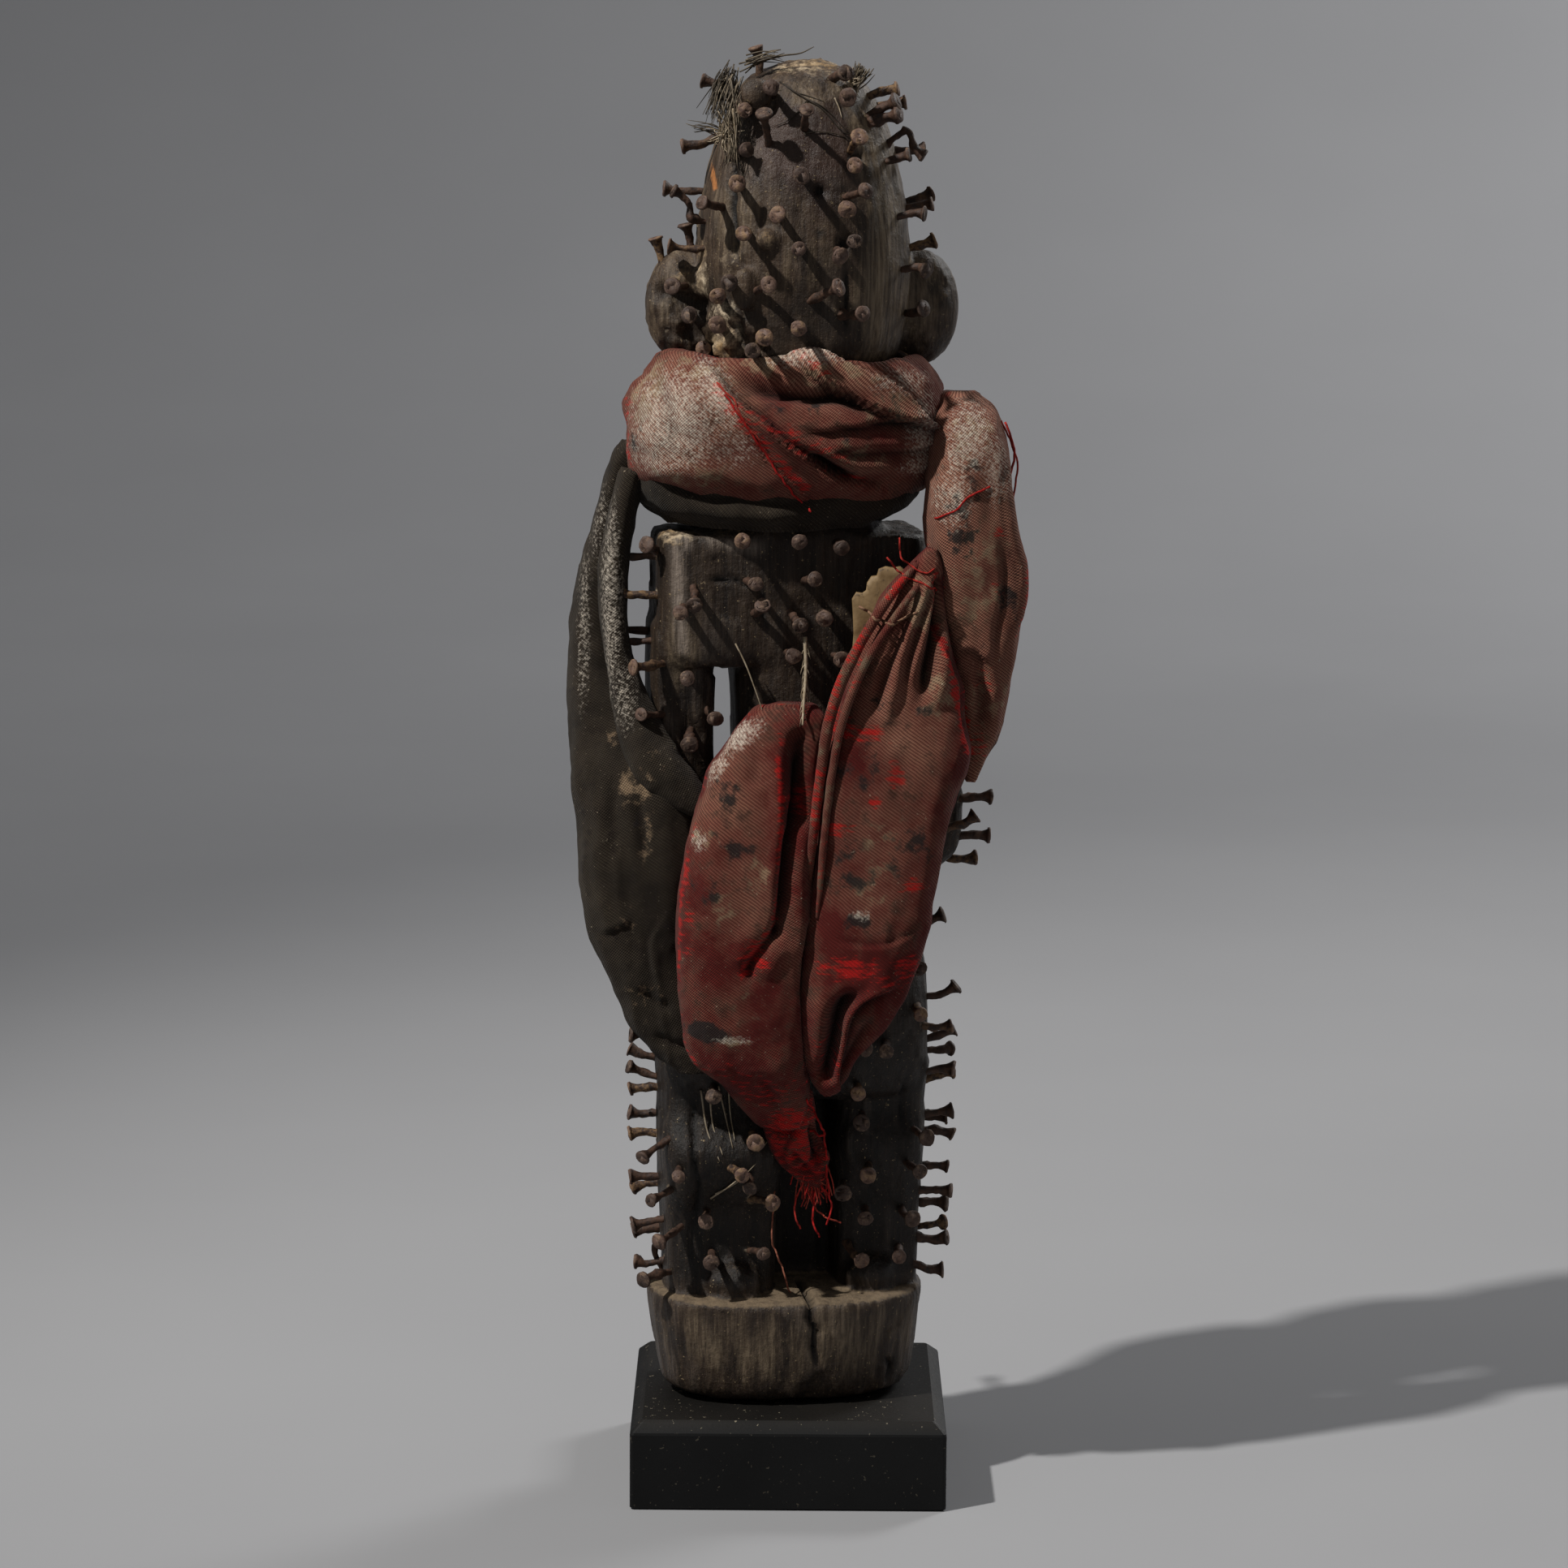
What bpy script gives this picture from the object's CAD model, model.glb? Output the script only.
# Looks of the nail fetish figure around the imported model. Shapes are worked out in millimetres, +Z up,
# with the origin under the plinth's middle; the figure's back faces -Y. Meshes are made in metres.
import itertools
import math

import bpy
import numpy as np
import openvdb
from mathutils import Matrix, Vector
from mathutils.bvhtree import BVHTree


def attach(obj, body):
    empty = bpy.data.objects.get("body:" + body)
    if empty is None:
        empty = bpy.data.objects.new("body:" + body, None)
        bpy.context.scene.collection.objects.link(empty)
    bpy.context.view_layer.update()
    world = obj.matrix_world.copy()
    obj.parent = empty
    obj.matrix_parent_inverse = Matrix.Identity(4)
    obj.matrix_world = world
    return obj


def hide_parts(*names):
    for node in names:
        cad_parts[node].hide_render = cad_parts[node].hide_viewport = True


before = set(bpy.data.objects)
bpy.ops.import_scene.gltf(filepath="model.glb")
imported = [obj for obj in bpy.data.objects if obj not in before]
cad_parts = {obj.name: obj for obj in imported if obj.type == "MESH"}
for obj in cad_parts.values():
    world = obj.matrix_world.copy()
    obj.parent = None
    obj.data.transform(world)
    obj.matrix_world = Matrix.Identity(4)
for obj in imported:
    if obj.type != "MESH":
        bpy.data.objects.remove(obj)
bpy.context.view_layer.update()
MM = 0.001
TURN = math.radians(8)           # the carving is turned this far on its plinth
GRID = 0.85   # spacing of the grid that the wood is meshed on
PLINTH_TOP = 19.5
CROWN = 310.0

# Noise and small helpers


def hashed(cell, seed):
    """A value from 0 to 1 for each whole-number cell."""
    x, y, z = (cell[..., i].astype(np.uint64) for i in range(3))
    mask = np.uint64(0xFFFFFFFF)
    mixed = (x * np.uint64(374761393) + y * np.uint64(668265263) + z * np.uint64(2246822519)
             + np.uint64(seed * 3266489917)) & mask
    mixed = ((mixed ^ (mixed >> np.uint64(15))) * np.uint64(2654435761)) & mask
    mixed = ((mixed ^ (mixed >> np.uint64(13))) * np.uint64(1274126177)) & mask
    return ((mixed ^ (mixed >> np.uint64(16))) & np.uint64(0xFFFF)).astype(np.float64) / 65535


def smooth_noise(points, seed=0):
    """Smooth noise from -1 to 1."""
    cell = np.floor(points).astype(np.int64)
    inside = points - cell
    inside = inside * inside * (3 - 2 * inside)
    total = np.zeros(points.shape[:-1])
    for corner in itertools.product((0, 1), repeat=3):
        weight = np.ones(points.shape[:-1])
        for axis in range(3):
            weight = weight * (inside[..., axis] if corner[axis] else 1 - inside[..., axis])
        total += weight * hashed(cell + np.array(corner), seed)
    return total * 2 - 1


def fractal(points, octaves=3, seed=0):
    return sum(smooth_noise(points * 2 ** i, seed + i) * 0.5 ** i for i in range(octaves))


def facets(points, seed=0):
    """Tilted flats, one for each cell, as an adze leaves them."""
    cell = np.floor(points).astype(np.int64)
    best = np.full(len(points), 1e9)
    height = np.zeros(len(points))
    for step in itertools.product((-1, 0, 1), repeat=3):
        there = cell + np.array(step)
        jitter = np.stack([hashed(there, seed + i) for i in range(3)], -1)
        away = points - (there + jitter)
        far = (away ** 2).sum(-1)
        tilt = np.stack([hashed(there, seed + 3 + i) - 0.5 for i in range(3)], -1)
        near = far < best
        best = np.where(near, far, best)
        height = np.where(near, (away * tilt).sum(-1), height)
    return height


def ease(value, low, high):
    """0 below low, 1 above high, smooth between."""
    t = np.clip((value - low) / (high - low), 0, 1)
    return t * t * (3 - 2 * t)


def turned(points, angle):
    c, s = math.cos(angle), math.sin(angle)
    x, y = points[..., 0], points[..., 1]
    return np.stack([c * x - s * y, s * x + c * y, points[..., 2]], -1)


def curve_through(points, count):
    """Points along a smooth line through the given ones."""
    points = np.asarray(points, float)
    if len(points) < 3:
        t = np.linspace(0, 1, count)[:, None]
        return points[0] * (1 - t) + points[-1] * t
    ends = np.vstack([2 * points[0] - points[1], points, 2 * points[-1] - points[-2]])
    place = np.linspace(0, len(points) - 1 - 1e-9, count)
    i = place.astype(int)
    t = (place - i)[:, None]
    a, b, c, d = (ends[i + k] for k in range(4))
    return 0.5 * (2 * b + (c - a) * t + (2 * a - 5 * b + 4 * c - d) * t ** 2
                  + (3 * b - a - 3 * c + d) * t ** 3)


def signed_line(across, height, line):
    """Distance to the line, positive on the left of its direction, and how far along."""
    line = np.array(line, float)
    best = np.full(len(across), 1e9)
    sign = np.ones(len(across))
    where = np.zeros(len(across))
    lengths = np.linalg.norm(np.diff(line, axis=0), axis=1)
    done = 0.0
    for start, end, length in zip(line[:-1], line[1:], lengths):
        step = (end - start) / length
        u, v = across - start[0], height - start[1]
        t = np.clip(u * step[0] + v * step[1], 0, length)
        far = np.hypot(u - t * step[0], v - t * step[1])
        near = far < best - 1e-9
        best = np.where(near, far, best)
        sign = np.where(near, np.sign(step[0] * v - step[1] * u + 1e-12), sign)
        where = np.where(near, (done + t) / lengths.sum(), where)
        done += length
    return best * sign, where


def spot_mask(x, z, spots):
    """spots are [x, z, half width, half height, strength, slant]."""
    total = np.zeros(len(x))
    for sx, sz, wide, tall, strength, *slant in spots:
        lean = slant[0] if slant else 0.0
        dx = x - sx - lean * (z - sz)
        total = np.maximum(total, strength * np.exp(-((dx / wide) ** 2 + ((z - sz) / tall) ** 2) ** 1.5))
    return total


def line_mask(x, z, lines):
    total = np.zeros(len(x))
    for line, width, strength in lines:
        far, _ = signed_line(x, z, curve_through(np.array(line, float), 5 * len(line)))
        total = np.maximum(total, strength * np.exp(-(far / width) ** 2))
    return total


def make_object(name, vertices, faces, slot, material, smooth=True, **attributes):
    """A mesh object in metres from millimetres, with point attributes, riding on the body."""
    mesh = bpy.data.meshes.new(name)
    vertices = np.asarray(vertices, float)
    mesh.from_pydata((vertices * MM).tolist(), [], faces if isinstance(faces, list) else faces.tolist())
    mesh.update()
    for key, values in attributes.items():
        values = np.asarray(values, np.float32)
        kind, field = ("FLOAT", "value") if values.ndim == 1 else ("FLOAT_VECTOR", "vector")
        mesh.attributes.new(key, kind, "POINT").data.foreach_set(field, values.ravel())
    if smooth:
        mesh.polygons.foreach_set("use_smooth", np.ones(len(mesh.polygons), bool))
    mesh.materials.append(material)
    piece = bpy.data.objects.new(name, mesh)
    bpy.context.collection.objects.link(piece)
    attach(piece, "root")
    return piece


def normals_of(vertices, faces):
    """Vertex normals of a mesh of quads or triangles."""
    faces = np.asarray(faces)
    a, b, c = vertices[faces[:, 0]], vertices[faces[:, 1]], vertices[faces[:, 2]]
    last = vertices[faces[:, -1]]
    face_normals = np.cross(b - a, c - a) + np.cross(c - a, last - a)
    total = np.zeros_like(vertices)
    for k in range(faces.shape[1]):
        np.add.at(total, faces[:, k], face_normals)
    return total / np.maximum(np.linalg.norm(total, axis=1, keepdims=True), 1e-12)


# Materials


class Surface:
    """Builds one procedural material out of nodes."""

    def __init__(self, name, roughness=0.8, **settings):
        self.material = bpy.data.materials.new(name)
        self.material.use_nodes = True
        self.tree = self.material.node_tree
        self.tree.nodes.clear()
        self.shader = self.tree.nodes.new("ShaderNodeBsdfPrincipled")
        output = self.tree.nodes.new("ShaderNodeOutputMaterial")
        self.tree.links.new(self.shader.outputs["BSDF"], output.inputs["Surface"])
        self.shader.inputs["Roughness"].default_value = roughness
        for key, value in settings.items():
            self.shader.inputs[key.replace("_", " ")].default_value = value
        self.place = self.tree.nodes.new("ShaderNodeTexCoord").outputs["Object"]

    def put(self, socket, value):
        if isinstance(value, bpy.types.NodeSocket):
            self.tree.links.new(value, socket)
        elif isinstance(value, (tuple, list)) and len(value) == 3 and socket.type == "RGBA":
            socket.default_value = (*value, 1)
        else:
            socket.default_value = value

    def node(self, kind, inputs=(), **settings):
        node = self.tree.nodes.new(kind)
        for key, value in settings.items():
            setattr(node, key, value)
        for key, value in dict(inputs).items():
            self.put(node.inputs[key], value)
        return node

    def math(self, operation, a, b=0.0, clamp=False):
        return self.node("ShaderNodeMath", {0: a, 1: b}, operation=operation, use_clamp=clamp).outputs[0]

    def attribute(self, name, vector=False):
        node = self.node("ShaderNodeAttribute", attribute_name=name)
        return node.outputs["Vector" if vector else "Fac"]

    def scaled(self, scale, source=None):
        return self.node("ShaderNodeMapping", {"Vector": source or self.place, "Scale": scale}).outputs[0]

    def noise(self, scale, detail=4.0, rough=0.55, source=None, warp=0.0):
        """Noise from 0 to 1; scale is a number per metre, or one for each axis."""
        scale = scale if isinstance(scale, tuple) else (scale,) * 3
        inputs = {"Vector": self.scaled(scale, source), "Scale": 1.0, "Detail": detail, "Roughness": rough,
                  "Distortion": warp}
        return self.node("ShaderNodeTexNoise", inputs).outputs["Fac"]

    def spots(self, scale, source=None):
        scale = scale if isinstance(scale, tuple) else (scale,) * 3
        return self.node("ShaderNodeTexVoronoi", {"Vector": self.scaled(scale, source), "Scale": 1.0}).outputs[0]

    def remap(self, value, low, high, to_low=0.0, to_high=1.0):
        inputs = {"Value": value, "From Min": low, "From Max": high, "To Min": to_low, "To Max": to_high}
        return self.node("ShaderNodeMapRange", inputs, clamp=True).outputs["Result"]

    def mix(self, factor, a, b, mode="MIX"):
        node = self.tree.nodes.new("ShaderNodeMix")
        node.data_type = "RGBA"
        node.blend_type = mode
        self.put(node.inputs["Factor"], factor)
        self.put(node.inputs[6], a)
        self.put(node.inputs[7], b)
        return node.outputs[2]

    def bump(self, height, distance, strength=1.0, after=None):
        """distance is in millimetres."""
        inputs = {"Height": height, "Distance": distance * MM, "Strength": strength}
        if after is not None:
            inputs["Normal"] = after
        return self.node("ShaderNodeBump", inputs).outputs[0]

    def finish(self, colour, roughness=None, normal=None):
        self.put(self.shader.inputs["Base Color"], colour)
        if roughness is not None:
            self.put(self.shader.inputs["Roughness"], roughness)
        if normal is not None:
            self.put(self.shader.inputs["Normal"], normal)
        return self.material


def wood_material():
    s = Surface("carved_wood", Specular_IOR_Level=0.32)
    grain = s.noise((1300, 1300, 80), 5, 0.62)
    broad = s.noise((240, 240, 45), 4, 0.6)
    blotch = s.noise(75, 5, 0.6)
    speck = s.noise(1500, 3, 0.6)
    crumb = s.noise(620, 6, 0.7)

    def masked(key, low, high, source=crumb, most=1.0):
        total = s.math("ADD", s.attribute(key), s.math("MULTIPLY", source, 0.9))
        return s.remap(total, low, high, 0, most)

    bare = s.mix(s.remap(broad, 0.3, 0.7), (0.022, 0.013, 0.008), (0.070, 0.043, 0.026))
    bare = s.mix(s.remap(grain, 0.42, 0.68, 0, 0.75), bare, (0.115, 0.076, 0.047))
    bare = s.mix(s.remap(blotch, 0.50, 0.66, 0, 0.75), bare, (0.014, 0.009, 0.006))
    patina = s.mix(s.remap(broad, 0.35, 0.7), (0.0050, 0.0033, 0.0024), (0.0145, 0.0088, 0.0056))
    patina = s.mix(s.remap(grain, 0.5, 0.72, 0, 0.6), patina, (0.034, 0.021, 0.013))
    colour = s.mix(s.attribute("patina"), bare, patina)
    resin_tone = s.mix(s.remap(blotch, 0.42, 0.62), (0.018, 0.010, 0.008), (0.052, 0.028, 0.020))
    resin = masked("resin", 0.75, 1.05, broad, 0.9)
    colour = s.mix(resin, colour, resin_tone)
    tan_tone = s.mix(s.remap(grain, 0.38, 0.62), (0.085, 0.058, 0.034), (0.260, 0.195, 0.125))
    colour = s.mix(masked("tan", 0.62, 0.98, broad, 0.9), colour, tan_tone)
    worn = s.math("MULTIPLY", s.attribute("worn"), s.remap(grain, 0.35, 0.6, 0.25, 1.0))
    colour = s.mix(worn, colour, (0.330, 0.265, 0.215))
    colour = s.mix(masked("orange", 0.8, 1.1, grain, 0.9), colour, (0.42, 0.165, 0.050))
    dust = masked("dust", 0.78, 1.12)
    colour = s.mix(s.math("MULTIPLY", dust, 0.8), colour, (0.200, 0.145, 0.090))
    crust = masked("crust", 0.80, 1.08)
    crust_tone = s.mix(s.remap(blotch, 0.40, 0.58), (0.330, 0.215, 0.105), (0.620, 0.500, 0.350))
    crust_tone = s.mix(s.remap(crumb, 0.40, 0.56, 0.75, 0.0), crust_tone, (0.075, 0.045, 0.024))
    colour = s.mix(s.math("MULTIPLY", crust, 0.93), colour, crust_tone)
    speckle = s.math("MULTIPLY", s.remap(speck, 0.655, 0.71), s.remap(crumb, 0.40, 0.6, 0.1, 0.85))
    colour = s.mix(speckle, colour, (0.42, 0.31, 0.17))
    colour = s.mix(s.attribute("dark"), colour, (0.004, 0.0030, 0.0025))
    rough = s.remap(s.math("ADD", dust, crust), 0, 1, 0.48, 0.9)
    rough = s.math("SUBTRACT", rough, s.math("MULTIPLY", resin, 0.12))
    normal = s.bump(grain, 0.35, 0.8)
    normal = s.bump(crumb, 0.6, 0.7, normal)
    return s.finish(colour, rough, normal)


def iron_material():
    s = Surface("rusty_iron", Specular_IOR_Level=0.35)
    rust = s.noise(700, 5, 0.65)
    pit = s.noise(2200, 4, 0.6)
    colour = s.mix(s.remap(rust, 0.35, 0.65), (0.020, 0.011, 0.008), (0.085, 0.042, 0.025))
    shade = s.attribute("shade")
    face_tone = s.mix(shade, (0.055, 0.034, 0.025), (0.170, 0.098, 0.072))
    face_tone = s.mix(s.remap(rust, 0.52, 0.66, 0, 0.75), face_tone, (0.230, 0.150, 0.100))
    face = s.math("MULTIPLY", s.attribute("face"), s.remap(rust, 0.3, 0.55, 0.55, 1.0))
    colour = s.mix(face, colour, face_tone)
    ochre = s.math("MULTIPLY", s.remap(shade, 0.55, 0.9), s.remap(rust, 0.45, 0.6, 0, 0.55))
    colour = s.mix(ochre, colour, (0.28, 0.17, 0.075))
    colour = s.mix(s.math("MULTIPLY", s.attribute("pale"), 0.8), colour, (0.50, 0.42, 0.32))
    colour = s.mix(s.remap(pit, 0.58, 0.72, 0, 0.8), colour, (0.012, 0.007, 0.005))
    normal = s.bump(pit, 0.14, 0.8)
    normal = s.bump(rust, 0.3, 0.8, normal)
    return s.finish(colour, s.remap(rust, 0.3, 0.7, 0.5, 0.8), normal)


def plinth_material():
    s = Surface("plinth_black", Specular_IOR_Level=0.22)
    fine = s.noise(1800, 3, 0.6)
    cloud = s.noise(28, 4, 0.6)
    speck = s.noise(1100, 2, 0.5)
    colour = s.mix(s.remap(cloud, 0.35, 0.7), (0.0012, 0.0012, 0.0013), (0.0042, 0.0042, 0.0043))
    up = s.attribute("up")
    colour = s.mix(s.math("MULTIPLY", up, s.remap(cloud, 0.3, 0.7, 0.2, 0.6)), colour, (0.016, 0.013, 0.010))
    dots = s.math("MULTIPLY", s.remap(speck, 0.70, 0.74), s.remap(up, 0, 1, 0.25, 1.0))
    colour = s.mix(dots, colour, (0.20, 0.17, 0.12))
    return s.finish(colour, s.remap(fine, 0.3, 0.7, 0.52, 0.66), s.bump(fine, 0.05, 0.3))


def floor_material():
    s = Surface("pale_floor", Specular_IOR_Level=0.1)
    cloud = s.noise(6, 3, 0.5)
    return s.finish(s.mix(cloud, (0.290, 0.290, 0.300), (0.325, 0.325, 0.335)), 0.9)


# The carving, as a distance field in the figure's own turned frame


class Field:
    """A grid of distances, negative inside, that shapes are blended into."""

    def __init__(self, low, high):
        self.low = np.array(low, float)
        self.axes = [np.arange(low[i], high[i], GRID) for i in range(3)]
        self.values = np.full([len(axis) for axis in self.axes], 5.0, np.float32)

    def window(self, low, high, reach):
        spans = []
        for axis, a, b in zip(self.axes, low, high):
            spans.append(slice(np.searchsorted(axis, a - reach), np.searchsorted(axis, b + reach)))
        spans = tuple(spans)
        x, y, z = (axis[span] for axis, span in zip(self.axes, spans))
        return spans, x[:, None, None], y[None, :, None], z[None, None, :]

    def blend(self, shape, soft, cut=False):
        """Adds the shape, or cuts it out, with a fillet about as wide as soft."""
        low, high, distance = shape
        spans, x, y, z = self.window(low, high, soft + 2.5)
        here = self.values[spans]
        if here.size == 0:
            return
        new = distance(x, y, z).astype(np.float32)
        if cut:
            here, new = -here, new
        soft = max(soft, 1e-3)
        near = np.clip(soft - np.abs(here - new), 0, None) / soft
        joined = np.minimum(here, new) - near * near * soft * 0.25
        self.values[spans] = -joined if cut else joined

    def mesh(self):
        grid = openvdb.FloatGrid(background=5.0)
        grid.copyFromArray(self.values)
        points, quads = grid.convertToQuads(isovalue=0.0)
        points = points.astype(float) * GRID + self.low
        middle = points[quads]
        volume = np.einsum("ij,ij->i", middle[:, 0], np.cross(middle[:, 1], middle[:, 2])).sum()
        return points, quads if volume > 0 else quads[:, ::-1]


def tower(rings, power=2.3, lean=0.0, round_end=1.2):
    """A skin through rings [z, x, y, half width, half depth]."""
    rings = np.array(rings, float)
    table = curve_through(rings, 12 * len(rings))
    table = table[np.argsort(table[:, 0])]
    low = [(rings[:, 1] - rings[:, 3]).min(), (rings[:, 2] - rings[:, 4]).min(), rings[0, 0]]
    high = [(rings[:, 1] + rings[:, 3]).max(), (rings[:, 2] + rings[:, 4]).max(), rings[-1, 0]]

    def distance(x, y, z):
        cx, cy, wide, deep = (np.interp(z, table[:, 0], table[:, i]) for i in range(1, 5))
        cx = cx + lean * (z - rings[0, 0])
        u, v = np.abs(x - cx), np.abs(y - cy)
        ratio = ((u / wide) ** power + (v / deep) ** power) ** (1 / power)
        side = np.hypot(u, v) * (1 - 1 / np.maximum(ratio, 1e-3))
        cap = np.maximum(rings[0, 0] - z, z - rings[-1, 0])
        both = np.clip(round_end - np.abs(side - cap), 0, None) / round_end
        return np.maximum(side, cap) + both * both * round_end * 0.25

    return low, high, distance


def lump(centre, halves, tilt=0.0):
    """An ellipsoid, tilted about its Y axis."""
    centre, halves = np.array(centre, float), np.array(halves, float)
    reach = halves if tilt == 0 else np.array([max(halves[0], halves[2]), halves[1], max(halves[0], halves[2])])
    c, s = math.cos(tilt), math.sin(tilt)

    def distance(x, y, z):
        dx, dy, dz = x - centre[0], y - centre[1], z - centre[2]
        dx, dz = c * dx + s * dz, c * dz - s * dx
        ratio = np.sqrt((dx / halves[0]) ** 2 + (dy / halves[1]) ** 2 + (dz / halves[2]) ** 2)
        return (ratio - 1) * halves.min()

    return centre - reach, centre + reach, distance


def limb(start, end, radius, end_radius=None):
    start, end = np.array(start, float), np.array(end, float)
    along = end - start
    length = float(along @ along)
    end_radius = radius if end_radius is None else end_radius
    reach = max(radius, end_radius)

    def distance(x, y, z):
        dx, dy, dz = x - start[0], y - start[1], z - start[2]
        t = np.clip((dx * along[0] + dy * along[1] + dz * along[2]) / length, 0, 1)
        gone = np.sqrt((dx - t * along[0]) ** 2 + (dy - t * along[1]) ** 2 + (dz - t * along[2]) ** 2)
        return gone - (radius + (end_radius - radius) * t)

    return np.minimum(start, end) - reach, np.maximum(start, end) + reach, distance


def slab(low, high, rounding=0.6):
    low, high = np.array(low, float), np.array(high, float)
    centre, halves = (low + high) / 2, (high - low) / 2 - rounding

    def distance(x, y, z):
        q = [np.abs(v - centre[i]) - halves[i] for i, v in enumerate((x, y, z))]
        outside = np.sqrt(sum(np.clip(v, 0, None) ** 2 for v in q))
        return outside + np.minimum(np.maximum(np.maximum(q[0], q[1]), q[2]), 0) - rounding

    return low, high, distance


def carve_figure():
    field = Field([-37, -27, 18.5], [39, 30, 313])
    add = field.blend
    bottom = PLINTH_TOP + 0.3
    add(tower([[bottom, -1, 0, 24, 16.8], [bottom + 3, -1, 0, 27.6, 19.6], [32, -1, 0, 29.4, 21],
               [41, -1, 0, 30.3, 21.6], [43, -1, 0, 29.8, 21.2]], 2.4, round_end=1.6), 0.5)
    legs = {-1: (-16, 1.3, 0, 1.8), 1: (18.8, -1.5, 3, 0.6)}
    for side, (x, stout, ahead, bulge) in legs.items():
        add(tower([[40, x, ahead - 1, 10.4 + stout, 11.5], [58, x, ahead - 0.5, 11 + stout, 10.2],
                   [69, x, ahead - 1.4 - bulge, 11.6 + stout, 11 + bulge],
                   [76, x, ahead - 2.4 - bulge, 12 + stout, 12 + bulge],
                   [84, x, ahead - 1.6, 12 + stout, 12], [94, x, -1, 12 + stout, 12]], 4.2), 1.0)
        add(lump([x, ahead + 9, 67], [8 + stout / 2, 7, 9]), 3)
        add(lump([x, ahead + 4, 45.5], [9.6 + stout, 14.5, 5.5]), 1.5)
        add(lump([x - side * 2, ahead - 12, 46.0], [5.5, 4.2, 4.2]), 2.0)
        for toe in range(4):
            foot_x = x + (toe - 1.5) * 4.1
            add(limb([foot_x, ahead + 12, 45.5], [foot_x, ahead + 17.6 - abs(toe - 1.5), 44.6], 1.9), 0.8)
    add(slab([-6, 4, 41], [11, 11, 90]), 2.0)
    add(tower([[86, 0, 0, 26, 12], [89, 0, -0.5, 28.4, 15.2], [98, 0, -1.5, 29.2, 17.4],
               [116, 0, -0.6, 28.6, 16], [131, 0, 0.5, 25, 12.5]], 3.6, round_end=3), 1.6)
    add(tower([[122, 0.8, 0.5, 15, 13], [142, 0.8, 1, 14.2, 14.5], [172, 0.8, 0.5, 14.4, 14.2],
               [192, 0.8, 0, 16, 13.5]], 2.6), 3.0)
    add(lump([0.8, 10, 147], [13, 10, 21]), 4.0)
    add(tower([[182, -1.4, 0, 28.4, 12.5], [188, -1.4, 0, 29, 13.6], [208.5, -1.4, 0, 28.8, 13.4],
               [210, -1.4, 0, 28.4, 13]], 7, round_end=1.6), 1.6)
    add(tower([[198, -0.5, 0, 24, 13], [209, -0.5, 0, 20, 13.2], [218, 0, 0, 17, 13.8],
               [249, 1, 0.5, 16, 15.5]], 2.6), 3.0)
    add(lump([-1, 9, 197], [22, 6.5, 9]), 3.0)
    arms = {-1: ([-25.6, 1.5, 146], -24.6, 6.9), 1: ([29.5, 1.5, 147], 24, 6.2)}
    for side, (elbow, top, width) in arms.items():
        add(tower([[elbow[2] - 11, elbow[0] - side * 2.5, 1, width - 1.4, 7.5],
                   [elbow[2] - 6, elbow[0], 1, width + 0.6, 9.5], [elbow[2] + 6, elbow[0], 1, width + 1, 10],
                   [elbow[2] + 20, (elbow[0] + top) / 2, 0.3, width + 0.2, 10.2],
                   [191, top, 0, width, 10.8]], 4.0), 1.2)
        hand = [0.8 + side * 10, 19.5, 139]
        add(limb([elbow[0], elbow[1] + 2, elbow[2]], hand, 5.6, 4.6), 3.0)
        for finger in range(4):
            z = 142.6 - finger * 2.7
            add(limb([0.8 + side * 13, 20.6, z], [0.8 + side * 3.4, 22.6, z], 1.55), 0.7)
    add(lump([0.8, 21.4, 160], [2.4, 2.4, 2.4]), 1.0)
    carve_head(field)
    carve_hollows(field)
    add(lump([-10.6, -13.4, 303.2], [3.4, 2.4, 3.4]), 1.0)
    add(lump([-8.6, -20.4, 273.4], [2.8, 1.4, 2.4]), 0.8)
    add(lump([-13.6, -19.2, 263.0], [3.0, 1.6, 4.4]), 1.2)
    return field


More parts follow.
